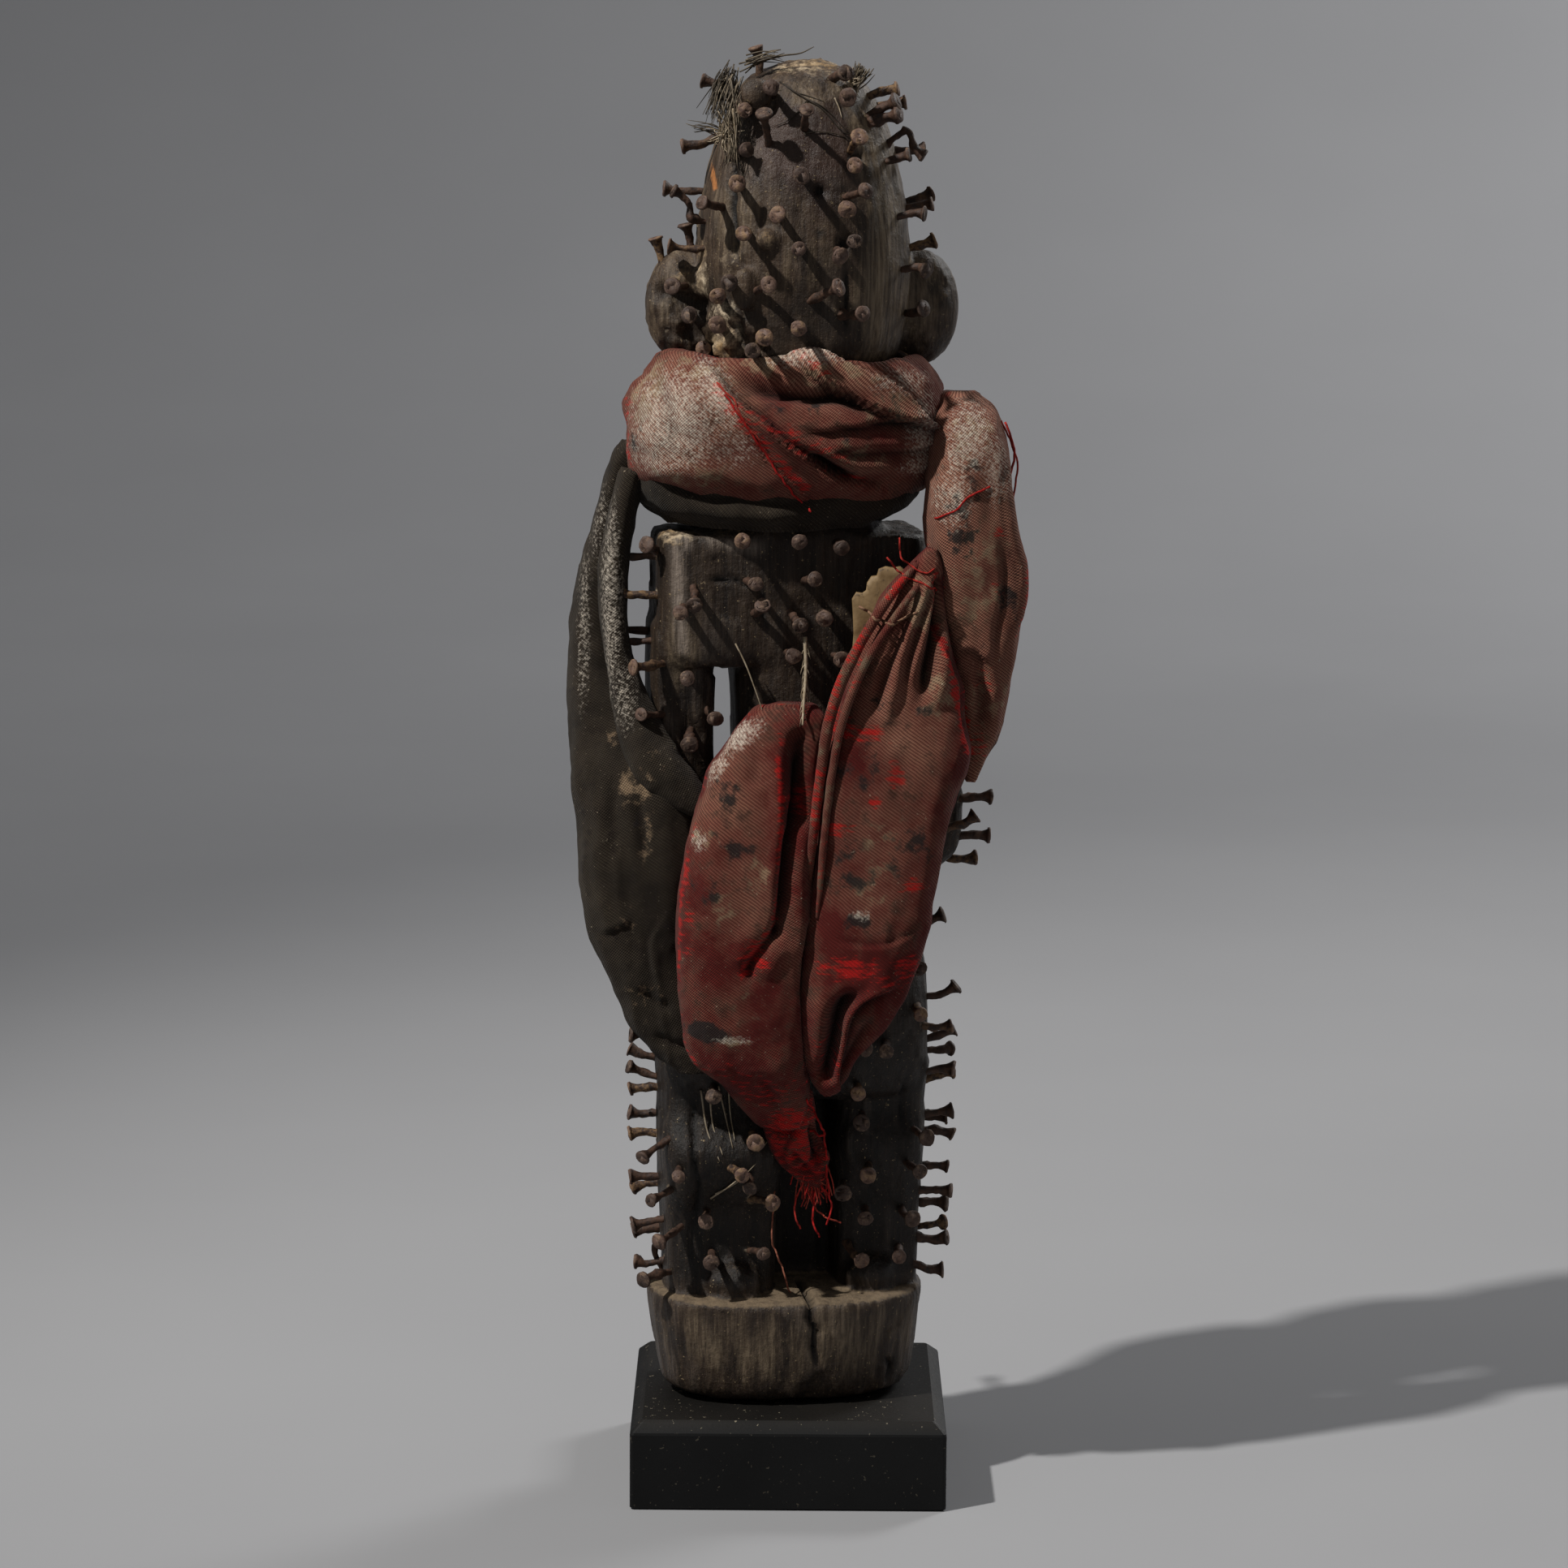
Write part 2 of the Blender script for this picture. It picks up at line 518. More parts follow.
def carve_head(field):
    add = field.blend
    x = 1.6
    add(tower([[243, x, 1, 16, 17], [249, x, 1, 20.6, 21.4], [262, x, 1, 22.6, 23], [277, x, 1, 21.8, 22.6],
               [290, x, 1, 19.4, 20.4], [300, x, 1, 16, 16.8], [306.5, x, 1, 11.4, 12.2],
               [310, x, 1, 4, 4.4]], 2.25), 3.0)
    for centre, halves in (([-23.4, 2.5, 258], [8.4, 6, 12]), ([26.2, 2, 257.5], [9.4, 6, 12.6])):
        add(lump(centre, halves), 1.6)
        side = 1 if centre[0] > 0 else -1
        field.blend(lump([centre[0] + side * 1.5, centre[1] + 6.5, centre[2]], [4.2, 3.4, 7.5]), 1.6, cut=True)
        add(lump([centre[0] - side * 2.5, centre[1] + 4.6, centre[2] - 2], [1.8, 2.4, 3.6]), 1.2)
    for side in (-1, 1):
        eye = x + side * 8.2
        field.blend(lump([eye, 23.5, 273.8], [6.4, 5.4, 4.6]), 3.0, cut=True)
        add(lump([eye, 19.2, 273.5], [5.2, 3.4, 3.0]), 0.8)
        field.blend(limb([eye - 4.4, 23.0, 272.9], [eye + 4.4, 23.0, 272.9], 0.55), 0.3, cut=True)
        add(limb([x + side * 2.5, 22.6, 280.4], [x + side * 13, 18.6, 281.6], 1.9, 1.3), 1.6)
        field.blend(limb([x + side * 1.9, 27.6, 262.6], [x + side * 1.9, 25.4, 263.6], 0.8), 0.5, cut=True)
        add(lump([x + side * 10.5, 16.6, 263], [6, 4.6, 6]), 4.0)
    add(tower([[262.3, x, 22.8, 4.2, 3.4], [265.5, x, 23.6, 3.6, 4], [272, x, 22.4, 2.2, 3.4],
               [281, x, 21, 2.2, 2.8]], 2.2), 1.6)
    add(lump([x, 21.4, 257.6], [6.2, 2.8, 1.7]), 0.6)
    add(lump([x, 21.0, 254.4], [5.4, 2.8, 1.7]), 0.6)
    add(lump([x, 17.6, 249.5], [7, 5, 4]), 3.0)


def carve_hollows(field):
    cut = field.blend
    cut(lump([-23.6, -4.2, 254.5], [5.4, 2.6, 7.6]), 1.0, cut=True)
    cut(lump([2.5, -22.8, 256], [10, 1.2, 7]), 2.0, cut=True)
    cut(tower([[86, 2.4, -18.4, 1.2, 3.0], [98, 2.2, -19.6, 1.0, 3.4], [110, 2, -18.4, 0.4, 1.4]], 2), 1.0, cut=True)


figure_field = carve_figure()
wood_points, wood_quads = figure_field.mesh()

# Cracks in the wood as lines in the figure's frame, with a depth and a half width. A line runs [x, z] on
# the back, or on the side where a third number gives the depth.
CRACKS = [
    ([[1.0, 46.5], [1.9, 42.8], [1.2, 40.0], [3.0, 36.5], [2.2, 33.0], [3.4, 29.5]], 2.6, 0.42),
    ([[19.2, 29.0], [20.4, 26.5], [19.4, 23.5]], 1.6, 0.4),
    ([[-20.0, 200.6], [-15.0, 201.2], [-11.8, 199.6]], 0.9, 0.28),
    ([[-8.4, 199.0], [-8.6, 195.0], [-8.0, 190.6]], 0.9, 0.28),
    ([[-22.6, 88.0], [-23.4, 76.0], [-22.0, 66.0], [-23.0, 52.0]], 1.5, 0.4),
    ([[23.4, 92.0], [22.6, 84.0], [23.8, 78.0]], 1.0, 0.3),
    ([[7.4, 268.0], [8.0, 262.0], [7.6, 254.0]], 0.8, 0.3),
    ([[-14.6, 290.0], [-15.4, 281.0], [-14.8, 270.0]], 1.2, 0.4),
]


# Marks on the back of the wood as spots [x, z, half width, half height, strength] and lines of [x, z]
RESIN = [[1.5, 293, 12, 12, 0.9], [7, 285, 8, 9, 0.6], [-8, 287, 3.4, 8, 0.5]]
CRUST = [
    [3.4, 310, 12, 2.6, 0.60], [-3.5, 309, 6, 2.4, 0.5], [9.3, 304.5, 4, 4, 0.34], [-12, 281, 4, 6, 0.26],
    [-14, 270, 4.5, 7, 0.34], [-6.2, 273.5, 2.8, 2.6, 0.42], [-14.5, 256.9, 5.5, 5, 0.5], [-15.9, 252, 6, 5, 0.62],
    [-9.5, 250, 4, 4, 0.5], [-26, 266.5, 6, 4.6, 0.66], [-31.5, 258, 2.2, 9, 0.45], [-26.5, 251.5, 6, 6, 0.5],
    [27.4, 268, 5.4, 4.2, 0.62], [32, 262, 2.6, 5, 0.5], [26.5, 262, 3, 3, 0.3], [24.6, 253, 3.4, 3, 0.36],
    [32, 252, 3, 6, 0.28], [-26, 210.6, 6, 4, 0.5], [-14, 211, 8, 2, 0.4],
]
CRUST_LINES = [([[-19.2, 292], [-20.8, 283], [-21.2, 275], [-20.6, 268], [-20.4, 262]], 2.4, 0.6),
               ([[15.4, 299], [18.6, 291], [20.4, 283], [20.8, 274]], 1.1, 0.3)]
TAN = [[-13, 277, 6, 11, 0.36], [2, 268, 9, 8, 0.22], [-25.5, 262, 9, 12, 0.5], [28, 259, 8, 12, 0.42],
       [0, 34, 34, 11, 0.30], [-24, 186, 4, 14, 0.3], [4, 304, 10, 4, 0.3]]
TAN_LINES = [([[14.5, 300], [18.2, 288], [18.8, 278], [17.8, 266], [17.2, 254], [16.8, 246]], 5.0, 0.55)]
WORN_LINES = [([[-24.8, 207], [-24.4, 195], [-23.6, 186]], 1.3, 0.8), ([[-24, 208.5], [-16, 209.0], [-8, 207.6]], 1.6, 0.7),
              ([[-26.2, 170], [-27.6, 156], [-26, 146]], 1.6, 0.4)]
ORANGE_LINES = [([[-18.9, 290.4], [-18.0, 287], [-17.0, 283.6]], 0.9, 0.8), ([[-20.2, 272], [-20.4, 266]], 0.8, 0.4)]
DARK = [[29.7, 262, 1.7, 1.9, 0.8], [31.8, 258.6, 1.5, 1.7, 0.7], [27.6, 258.4, 1.3, 1.5, 0.6], [-22.6, 252.4, 1.4, 1.4, 0.8],
        [-27.6, 250.6, 1.2, 1.3, 0.8], [-24.4, 248.6, 1.2, 1.0, 0.7], [-10.4, 258.4, 3.0, 2.4, 0.55],
        [4.9, 274.7, 1.0, 1.0, 0.9], [9.6, 279.9, 1.6, 1.8, 0.6], [20, 200, 9, 9, 0.45], [12, 214, 12, 5, 0.5]]
EAR_HOLLOW = [[-28.6, 261.0], [-24.6, 260.0], [-20.6, 258.2]]


def weather(points, quads, feet):
    """Moves the carving's surface: adze flats, grain, cracks and crust. Returns it and its masks."""
    normals = normals_of(points, quads)
    x, y, z = points.T
    seen_x = turned(points, TURN)[:, 0]
    on_head = ease(z, 240, 248)
    back = ease(-y, -4, 6)
    flats = facets(points / [11, 11, 19], 5)
    swell = fractal(points / [17, 17, 24], 2, 11)
    grain = fractal(points / [1.9, 1.9, 26], 2, 21)
    fine = fractal(points / [1.5, 1.5, 9], 2, 31)
    crumbs = fractal(points / 2.6, 3, 41)
    patch = smooth_noise(points / 7, 51)
    push = 0.7 * flats * (1 - 0.5 * on_head) + 0.35 * swell + 0.24 * grain + 0.08 * fine
    flat_top = (np.abs(normals[:, 2]) > 0.7) & (z < 45)
    push = np.where(flat_top, 0.3 * swell + 0.2 * crumbs, push)
    push = np.where(z < 21.5, np.clip(push, -0.4, 0), push)

    def marks(spots, lines=()):
        return np.maximum(spot_mask(seen_x, z, spots), line_mask(seen_x, z, lines)) * back

    crust = marks(CRUST, CRUST_LINES)
    edges = ease(np.abs(x), 12, 19) * on_head * (1 - back)
    crust = np.maximum(crust, 0.34 * edges * ease(patch, -0.3, 0.5))
    crust = np.maximum(crust, 0.45 * ease(z, 304, 309) * ease(patch, -0.7, 0.2))
    roots = np.zeros(len(points))
    for k, foot in enumerate(feet):
        away = ((points - foot) ** 2).sum(1)
        strength = 0.18 + 0.5 * ((k * 37) % 23) / 23
        roots = np.maximum(roots, strength * np.exp(-away / 4.4))
    crust = np.clip(np.maximum(crust, 0.8 * roots), 0, 0.85)
    push += crust * (0.35 + 1.0 * crumbs)
    hollow, _ = signed_line(seen_x, z, EAR_HOLLOW)
    cavity = np.exp(-(hollow / 1.7) ** 2) * back
    push += -3.6 * cavity + 0.8 * crumbs * cavity
    lumps = spot_mask(seen_x, z, [[-13, 251, 9, 6, 1], [-24, 251, 7, 6, 0.9]]) * back
    push += lumps * np.clip(crumbs + 0.1, -0.5, 1) * 1.9

    dark = np.maximum(marks(DARK), 0.9 * cavity)
    dark = np.maximum(dark, 0.7 * lumps * ease(-crumbs, 0.15, 0.5))
    for line, depth, half in CRACKS:
        far, where = signed_line(x + 0.35 * smooth_noise(points / [9, 9, 2.2], 61), z, line)
        thin = np.sin(np.clip(where, 0.02, 0.98) * math.pi) ** 0.4
        near = np.exp(-(far / (half * 1.4)) ** 2) * thin * (y < 0)
        push -= depth * near
        dark = np.maximum(dark, np.clip(near * 1.3, 0, 1))
    for hole_x, hole_z, radius in ((7.2, 272.4, 1.2), (10.6, 290.2, 1.3), (2.0, 283.5, 1.0)):
        near = np.exp(-(np.hypot(x - hole_x, z - hole_z) / radius) ** 2) * (y < 0)
        push -= 2.2 * near
        dark = np.maximum(dark, near)

    worn = np.clip(0.5 * flats + 0.35 * grain + 0.25 * swell - 0.1, 0, 1) * 0.35
    worn = np.maximum(worn, marks([], WORN_LINES) * ease(grain, -0.9, 0.1))
    recess = ((z > 45) & (z < 92)) * np.exp(-((x - 2.6) / 5.5) ** 2) * ease(-y, -6, 0)
    dark = np.maximum(dark, 0.8 * recess)
    nape_dark = np.exp(-(((x - 6) / 12) ** 2 + ((z - 246) / 6) ** 2)) * back
    dark = np.maximum(dark, 0.55 * nape_dark)
    up = np.clip(normals[:, 2], 0, 1)
    dust = np.where(z < 48, 0.62 * ease(up, 0.3, 0.9), 0.3 * ease(up, 0.4, 0.9) * (z < 240))
    dust = np.maximum(dust, 0.20 * (z < 44) + 0.1 * patch * (z < 44))
    dust = np.maximum(dust, 0.18 * on_head + 0.12 * patch * on_head)
    patina = np.interp(z, [22, 43, 47, 92, 130, 200, 240, 250], [0.55, 0.5, 0.95, 1.0, 0.8, 0.62, 0.5, 0.1])
    masks = {
        "crust": crust, "dust": dust, "worn": worn, "dark": np.clip(dark, 0, 1), "patina": patina,
        "resin": marks(RESIN), "tan": np.maximum(marks(TAN, TAN_LINES), 0.3 * on_head * (1 - back)),
        "orange": marks([], ORANGE_LINES),
    }
    return points + normals * push[:, None], masks


# Nails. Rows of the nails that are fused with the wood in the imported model, for each side:
# place along the side and height of the head, and how far the head lies from the foot along and upwards.
SIDES = {
    "back": ((0, 1, 0), (1, 0, 0), (0, 0, 1)),
    "front": ((0, -1, 0), (1, 0, 0), (0, 0, 1)),
    "left": ((1, 0, 0), (0, 1, 0), (0, 0, 1)),
    "right": ((-1, 0, 0), (0, 1, 0), (0, 0, 1)),
    "top": ((0, 0, -1), (1, 0, 0), (0, 1, 0)),
}
FUSED_ROWS = [
    ("back", 9, [
        [-7, 300, -1, 7], [12, 289, 0, 0], [10.5, 280, 0, 0], [9, 270.5, 0, 0], [-16.5, 261.5, 0, 0],
        [-16.5, 255.5, 0, 0], [-26.5, 263, -3, 0.5], [-19.5, 249.5, 0, 0], [-6.5, 253.5, 1, 1.5],
        [10.5, 308, 3, 1.5], [-20, 281, -4.5, 1.5],
    ]),
    ("right", 6.8, [
        [-3, 301.5, -1, 1], [-11, 299, 0, 2], [-2, 291.5, 0, 0.5],
        [3, 282, 0, 2.5], [-1, 280, 0, 1], [-10, 278.5, 0, 1], [-1, 272.5, 0, 2], [-13, 267, -3, 0.5],
        [-11, 258.5, -5, 1.5], [0, 244.5, 0, -3.5], [-6, 304.5, 0, 2],
    ]),
    ("left", 9, [[-3, 291.5, 0, -2.5], [-2, 306, 0, 3], [4, 282.5, 0, 0.5], [-8, 271, 0, 0.5]]),
    ("top", 6, [[-9, -3, -1, -1]]),
    ("back", 9, [
        [-24, 195, -0.5, 0], [10.5, 184.5, 2, 0], [-34.5, 182.5, -6.5, 0], [-33, 172.5, -5, 1],
    ]),
    ("left", 9, [[-6, 205, 0, 0], [-9, 197, 0, 0.5], [-3, 188.5, 0, 0.5], [-8, 186.5, 0, 0]]),
    ("back", 9, [
        [-10, 73.5, 2.5, 0.5], [-8.5, 70, 0.5, -1], [-3.5, 66, 5, 1], [16, 101, 0, 0],
        [24, 51.5, 0, 0], [27.5, 117, 1, 0], [30, 79, 3, 0], [28.5, 71.5, 3, 0], [27, 60, 2.5, 0],
        [-32.5, 75.5, -6, -3], [-31, 66, -5.5, -1.5], [-28.5, 56.5, -5, -2], [-32, 47.5, -6, 0],
    ]),
    ("right", 7.2, [
        [6, 167.5, 3, 0], [2, 159.5, 0, 0], [-2, 152, 0, 0.5], [-4, 148.5, 0, 3], [0, 143, 0, 0],
        [-8, 140, -2, 0], [3, 137.5, 0, 0], [0, 131.5, 0, -1], [-4, 126.5, 0, 3],
        [-5, 110.5, 0, 2.5], [-9, 102.5, 0, 0], [-2, 100.5, 0, 2.5], [6, 94, 2, 0], [-6, 92.5, 0, 1],
        [0, 90.5, 0, 2], [0, 81.5, 0, 1], [8, 78, 0, 0], [2, 75.5, 0, -1], [3, 68, 0, 0], [-1, 63.5, 0, 0],
        [4, 59.5, 0, 0], [0, 52.5, 0, 0], [6, 54.5, 1, 1], [-2, 45.5, 0, -1.5],
    ]),
    ("left", 7.2, [
        [2, 102, 0, 0], [-3, 98.5, 0, -1], [4, 94, 0, 2], [-2, 91.5, 0, 2.5], [-5, 87, 0, -0.5],
        [0, 80.5, 0, 0], [-5, 77, 0, 0], [-4, 67, 0, 0], [1, 63, 0, -1.5], [-6, 56.5, 0, -1.5],
        [2, 53, 0, -1], [-4, 47.5, 0, -0.5],
    ]),
    ("front", 9, [
        [-12, 191, -0.8, 0.5], [-14, 57, -0.8, 0.4], [10, 191, 0.8, 0.5], [13, 57, 0.8, 0.4],
        [-15, 200, -0.8, 0.5], [13, 200, 0.8, 0.5], [-17, 81, -0.8, 0.4], [17, 81, 0.8, 0.4],
        [-22, 108, -1, 0], [-8, 112, 0, 1], [10, 109, 0.5, 0], [23, 114, 1, 0.5],
    ]),
]
NAIL_SEAT = 4.0
SHANK = 0.86
HEAD = 1.72


def own_nails():
    """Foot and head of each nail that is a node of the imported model, read off its rings of corners."""
    found = []
    for name, node in sorted(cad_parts.items()):
        if not name.startswith("nail_"):
            continue
        corners = np.array([v.co for v in node.data.vertices]) / MM
        middle = corners.mean(0)
        axis = np.linalg.svd(corners - middle)[2][0]
        along = (corners - middle) @ axis
        spread = [np.linalg.norm((corners[mask] - corners[mask].mean(0)), axis=1).mean()
                  for mask in (along < along.min() + 0.5, along > along.max() - 0.5)]
        if spread[0] > spread[1]:
            axis, along = -axis, -along
        foot = corners[along < along.min() + 0.5].mean(0)
        head = corners[along > along.max() - 0.5].mean(0)
        direction = (head - foot) / np.linalg.norm(head - foot)
        found.append((name, foot + direction * NAIL_SEAT, head))
    return found


def fused_nails(tree):
    found = []
    for side, out, rows in FUSED_ROWS:
        inward, along, up = (np.array(v, float) for v in SIDES[side])
        for place, height, across, rise in rows:
            start = along * (place - across) + up * (height - rise) + inward * (-400 if side == "top" else -100)
            hit = tree.ray_cast(Vector(start), Vector(inward))[0]
            reach = math.sqrt(max(out ** 2 - across ** 2 - rise ** 2, 4))
            axis = -inward * reach + along * across + up * rise
            foot = np.array(hit)
            found.append((foot, foot + axis / np.linalg.norm(axis) * out))
    return found


rough_tree = BVHTree.FromPolygons(turned(wood_points, TURN).tolist(), wood_quads.tolist())
OWN_NAILS = own_nails()
FUSED_NAILS = fused_nails(rough_tree)
nail_feet = [foot for _, foot, _ in OWN_NAILS] + [foot for foot, _ in FUSED_NAILS]
wood_points, wood_masks = weather(wood_points, wood_quads, [turned(foot, -TURN) for foot in nail_feet])
wood_points = turned(wood_points, TURN)
wood = make_object("carved_figure", wood_points, wood_quads, "carved_wood", wood_material(), **wood_masks)
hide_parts("wooden_figure")
wood_tree = BVHTree.FromPolygons(wood_points.tolist(), wood_quads.tolist())

# Tubes and nails


def sweep(path, radii, sides, closed_ends=True, flatten=1.0, start_side=None):
    """A tube along the points, as vertices and quads, with its ends closed by fans of quads."""
    path = np.asarray(path, float)
    radii = np.asarray(radii, float)
    ahead = np.gradient(path, axis=0)
    ahead /= np.maximum(np.linalg.norm(ahead, axis=1, keepdims=True), 1e-9)
    side = np.array(start_side if start_side is not None else [0.31, 0.17, 0.94], float)
    rings = []
    for point, way, radius in zip(path, ahead, radii):
        side = side - way * (side @ way)
        side /= max(np.linalg.norm(side), 1e-9)
        other = np.cross(way, side)
        angle = np.arange(sides) * 2 * math.pi / sides
        rings.append(point + radius * (np.cos(angle)[:, None] * side + flatten * np.sin(angle)[:, None] * other))
    vertices = np.vstack(rings)
    faces = []
    for row in range(len(path) - 1):
        a = row * sides
        for k in range(sides):
            n = (k + 1) % sides
            faces.append((a + k, a + n, a + sides + n, a + sides + k))
    if closed_ends:
        last = (len(path) - 1) * sides
        half = sides // 2
        for k in range(half - 1):
            faces.append((k + 1, k, sides - 1 - k, sides - 2 - k))
            faces.append((last + k, last + k + 1, last + sides - 2 - k, last + sides - 1 - k))
    return vertices, faces


def nail_mesh(path, rng, size=1.0, head=True, sides=14, crusty=1.0):
    """One rusty nail along the points from inside the wood to its head."""
    line = curve_through(path, 15 if len(path) < 5 else 26)
    gone = np.concatenate([[0], np.cumsum(np.linalg.norm(np.diff(line, axis=0), axis=1))])
    left = gone[-1] - gone
    shank = SHANK * size * rng.uniform(0.84, 1.10)
    radius = shank * (1 + 0.10 * np.sin(gone * rng.uniform(0.9, 1.6) + rng.uniform(0, 6)))
    face = np.zeros(len(line))
    if head:
        wide = HEAD * size * rng.uniform(0.9, 1.12)
        flare = np.clip(1 - left / rng.uniform(1.6, 2.3), 0, 1)
        radius = radius + (wide * 0.86 - shank) * flare ** 1.8
        way = line[-1] - line[-2]
        way /= np.linalg.norm(way)
        thick = rng.uniform(0.45, 0.75)
        out = way + rng.normal(0, 0.10, 3)
        out /= np.linalg.norm(out)
        rim = [(0.12, 1.0), (0.75, 1.0), (1.0, 0.9), (0.94, 0.74), (0.80, 0.45), (rng.uniform(0.7, 1.0), 0.10)]
        line = np.vstack([line] + [line[-1] + out * thick * rise for rise, _ in rim])
        radius = np.concatenate([radius, [wide * share for _, share in rim]])
        face = np.concatenate([face, [0.4, 1, 1, 1, 1, 1]])
    vertices, faces = sweep(line, radius, sides, True, rng.uniform(0.9, 1.05), rng.normal(size=3))
    face = np.repeat(face, sides)
    place = rng.uniform(0, 50)
    rough = fractal(vertices / 0.9 + place, 2, 71)
    lumps = np.clip(fractal(vertices / 1.9 + place, 2, 81) - 0.15, 0, 1)
    centre = np.repeat(line, sides, axis=0)
    outward = (vertices - centre) / np.maximum(np.repeat(radius, sides)[:, None], 1e-6)
    chip = 1 + 0.12 * smooth_noise(outward * 1.7 + place, 91) * face
    amount = crusty * (0.13 * rough + 0.5 * lumps) * (1 - face)
    vertices = centre + (vertices - centre) * chip[:, None] + outward * amount[:, None]
    if head:
        vertices[-4 * sides:] += (out * 0.09) * rough[-4 * sides:, None]
    return vertices, faces, face


def gather(parts):
    """Joins meshes given as (vertices, faces, masks...)."""
    vertices, faces, masks = [], [], []
    total = 0
    for part in parts:
        vertices.append(part[0])
        faces.extend([tuple(i + total for i in f) for f in part[1]])
        masks.append(part[2:])
        total += len(part[0])
    return (np.vstack(vertices), faces, *(np.concatenate(group) for group in zip(*masks)))


# Bent nails and thick crusted ones, as lines from inside the wood to the head, with a size and what they are
BENT_NAILS = [
    ([[15.0, -6, 290.6], [18.4, -7, 292.4], [21.3, -8, 294.6], [23.2, -8.6, 295.5], [24.1, -8.8, 294.0], [24.8, -9, 292.2],
      [26.4, -9.4, 290.6]], 0.9, True),
    ([[15.4, -9, 288.0], [18.8, -10, 289.1], [23.2, -11.5, 290.6]], 0.95, True),
    ([[-18.4, -7, 276.0], [-22.0, -8.5, 277.0], [-22.6, -9, 279.6], [-24.0, -9.4, 281.6], [-25.6, -9.6, 282.6]], 0.9, True),
    ([[10.4, -7, 294.4], [13.4, -9, 297.3], [17.1, -11, 300.0], [20.4, -12, 301.6]], 1.15, True),
    ([[13.0, -9, 296.0], [16.0, -11, 298.0], [20.9, -13, 299.2]], 1.1, True),
    ([[-22, 0, 44.0], [-26.0, -2, 44.6], [-28.6, -3, 46.8], [-29.8, -3, 50.4], [-28.4, -3.4, 53.0], [-26.6, -3, 51.4],
      [-27.2, -2, 48.6]], 0.7, False),
]


def build_nails():
    rng = np.random.default_rng(17)
    parts = []
    for _, foot, head in OWN_NAILS:
        way = (head - foot) / np.linalg.norm(head - foot)
        middle = (foot + head) / 2 + rng.normal(0, 0.16, 3)
        parts.append(nail_mesh([foot - way * NAIL_SEAT, foot, middle, head - way * 0.6], rng))
    for foot, head in FUSED_NAILS:
        way = (head - foot) / np.linalg.norm(head - foot)
        head = foot + (head - foot) * rng.uniform(0.86, 1.0)
        middle = (foot + head) / 2 + rng.normal(0, 0.28, 3)
        parts.append(nail_mesh([foot - way * 3, foot, middle, head - way * 0.6], rng))
    for path, size, head in BENT_NAILS:
        parts.append(nail_mesh(np.array(path, float), rng, size, head, crusty=1.3))
    parts = [(v, f, face, np.full(len(v), rng.uniform(0, 1) ** 1.3), np.zeros(len(v))) for v, f, face in parts]
    vertices, faces, face, shade, pale = gather(parts)
    piece = make_object("iron_nails", vertices, faces, "rusty_iron", iron_material(), face=face, pale=pale, shade=shade)
    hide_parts(*(name for name, _, _ in OWN_NAILS))
    return piece


build_nails()

# Cloth. Every part is a skin through rings, with folds drawn on the side that faces back as lines of
# [x, z]. The layer on the left of a line's direction lies over the one on its right.


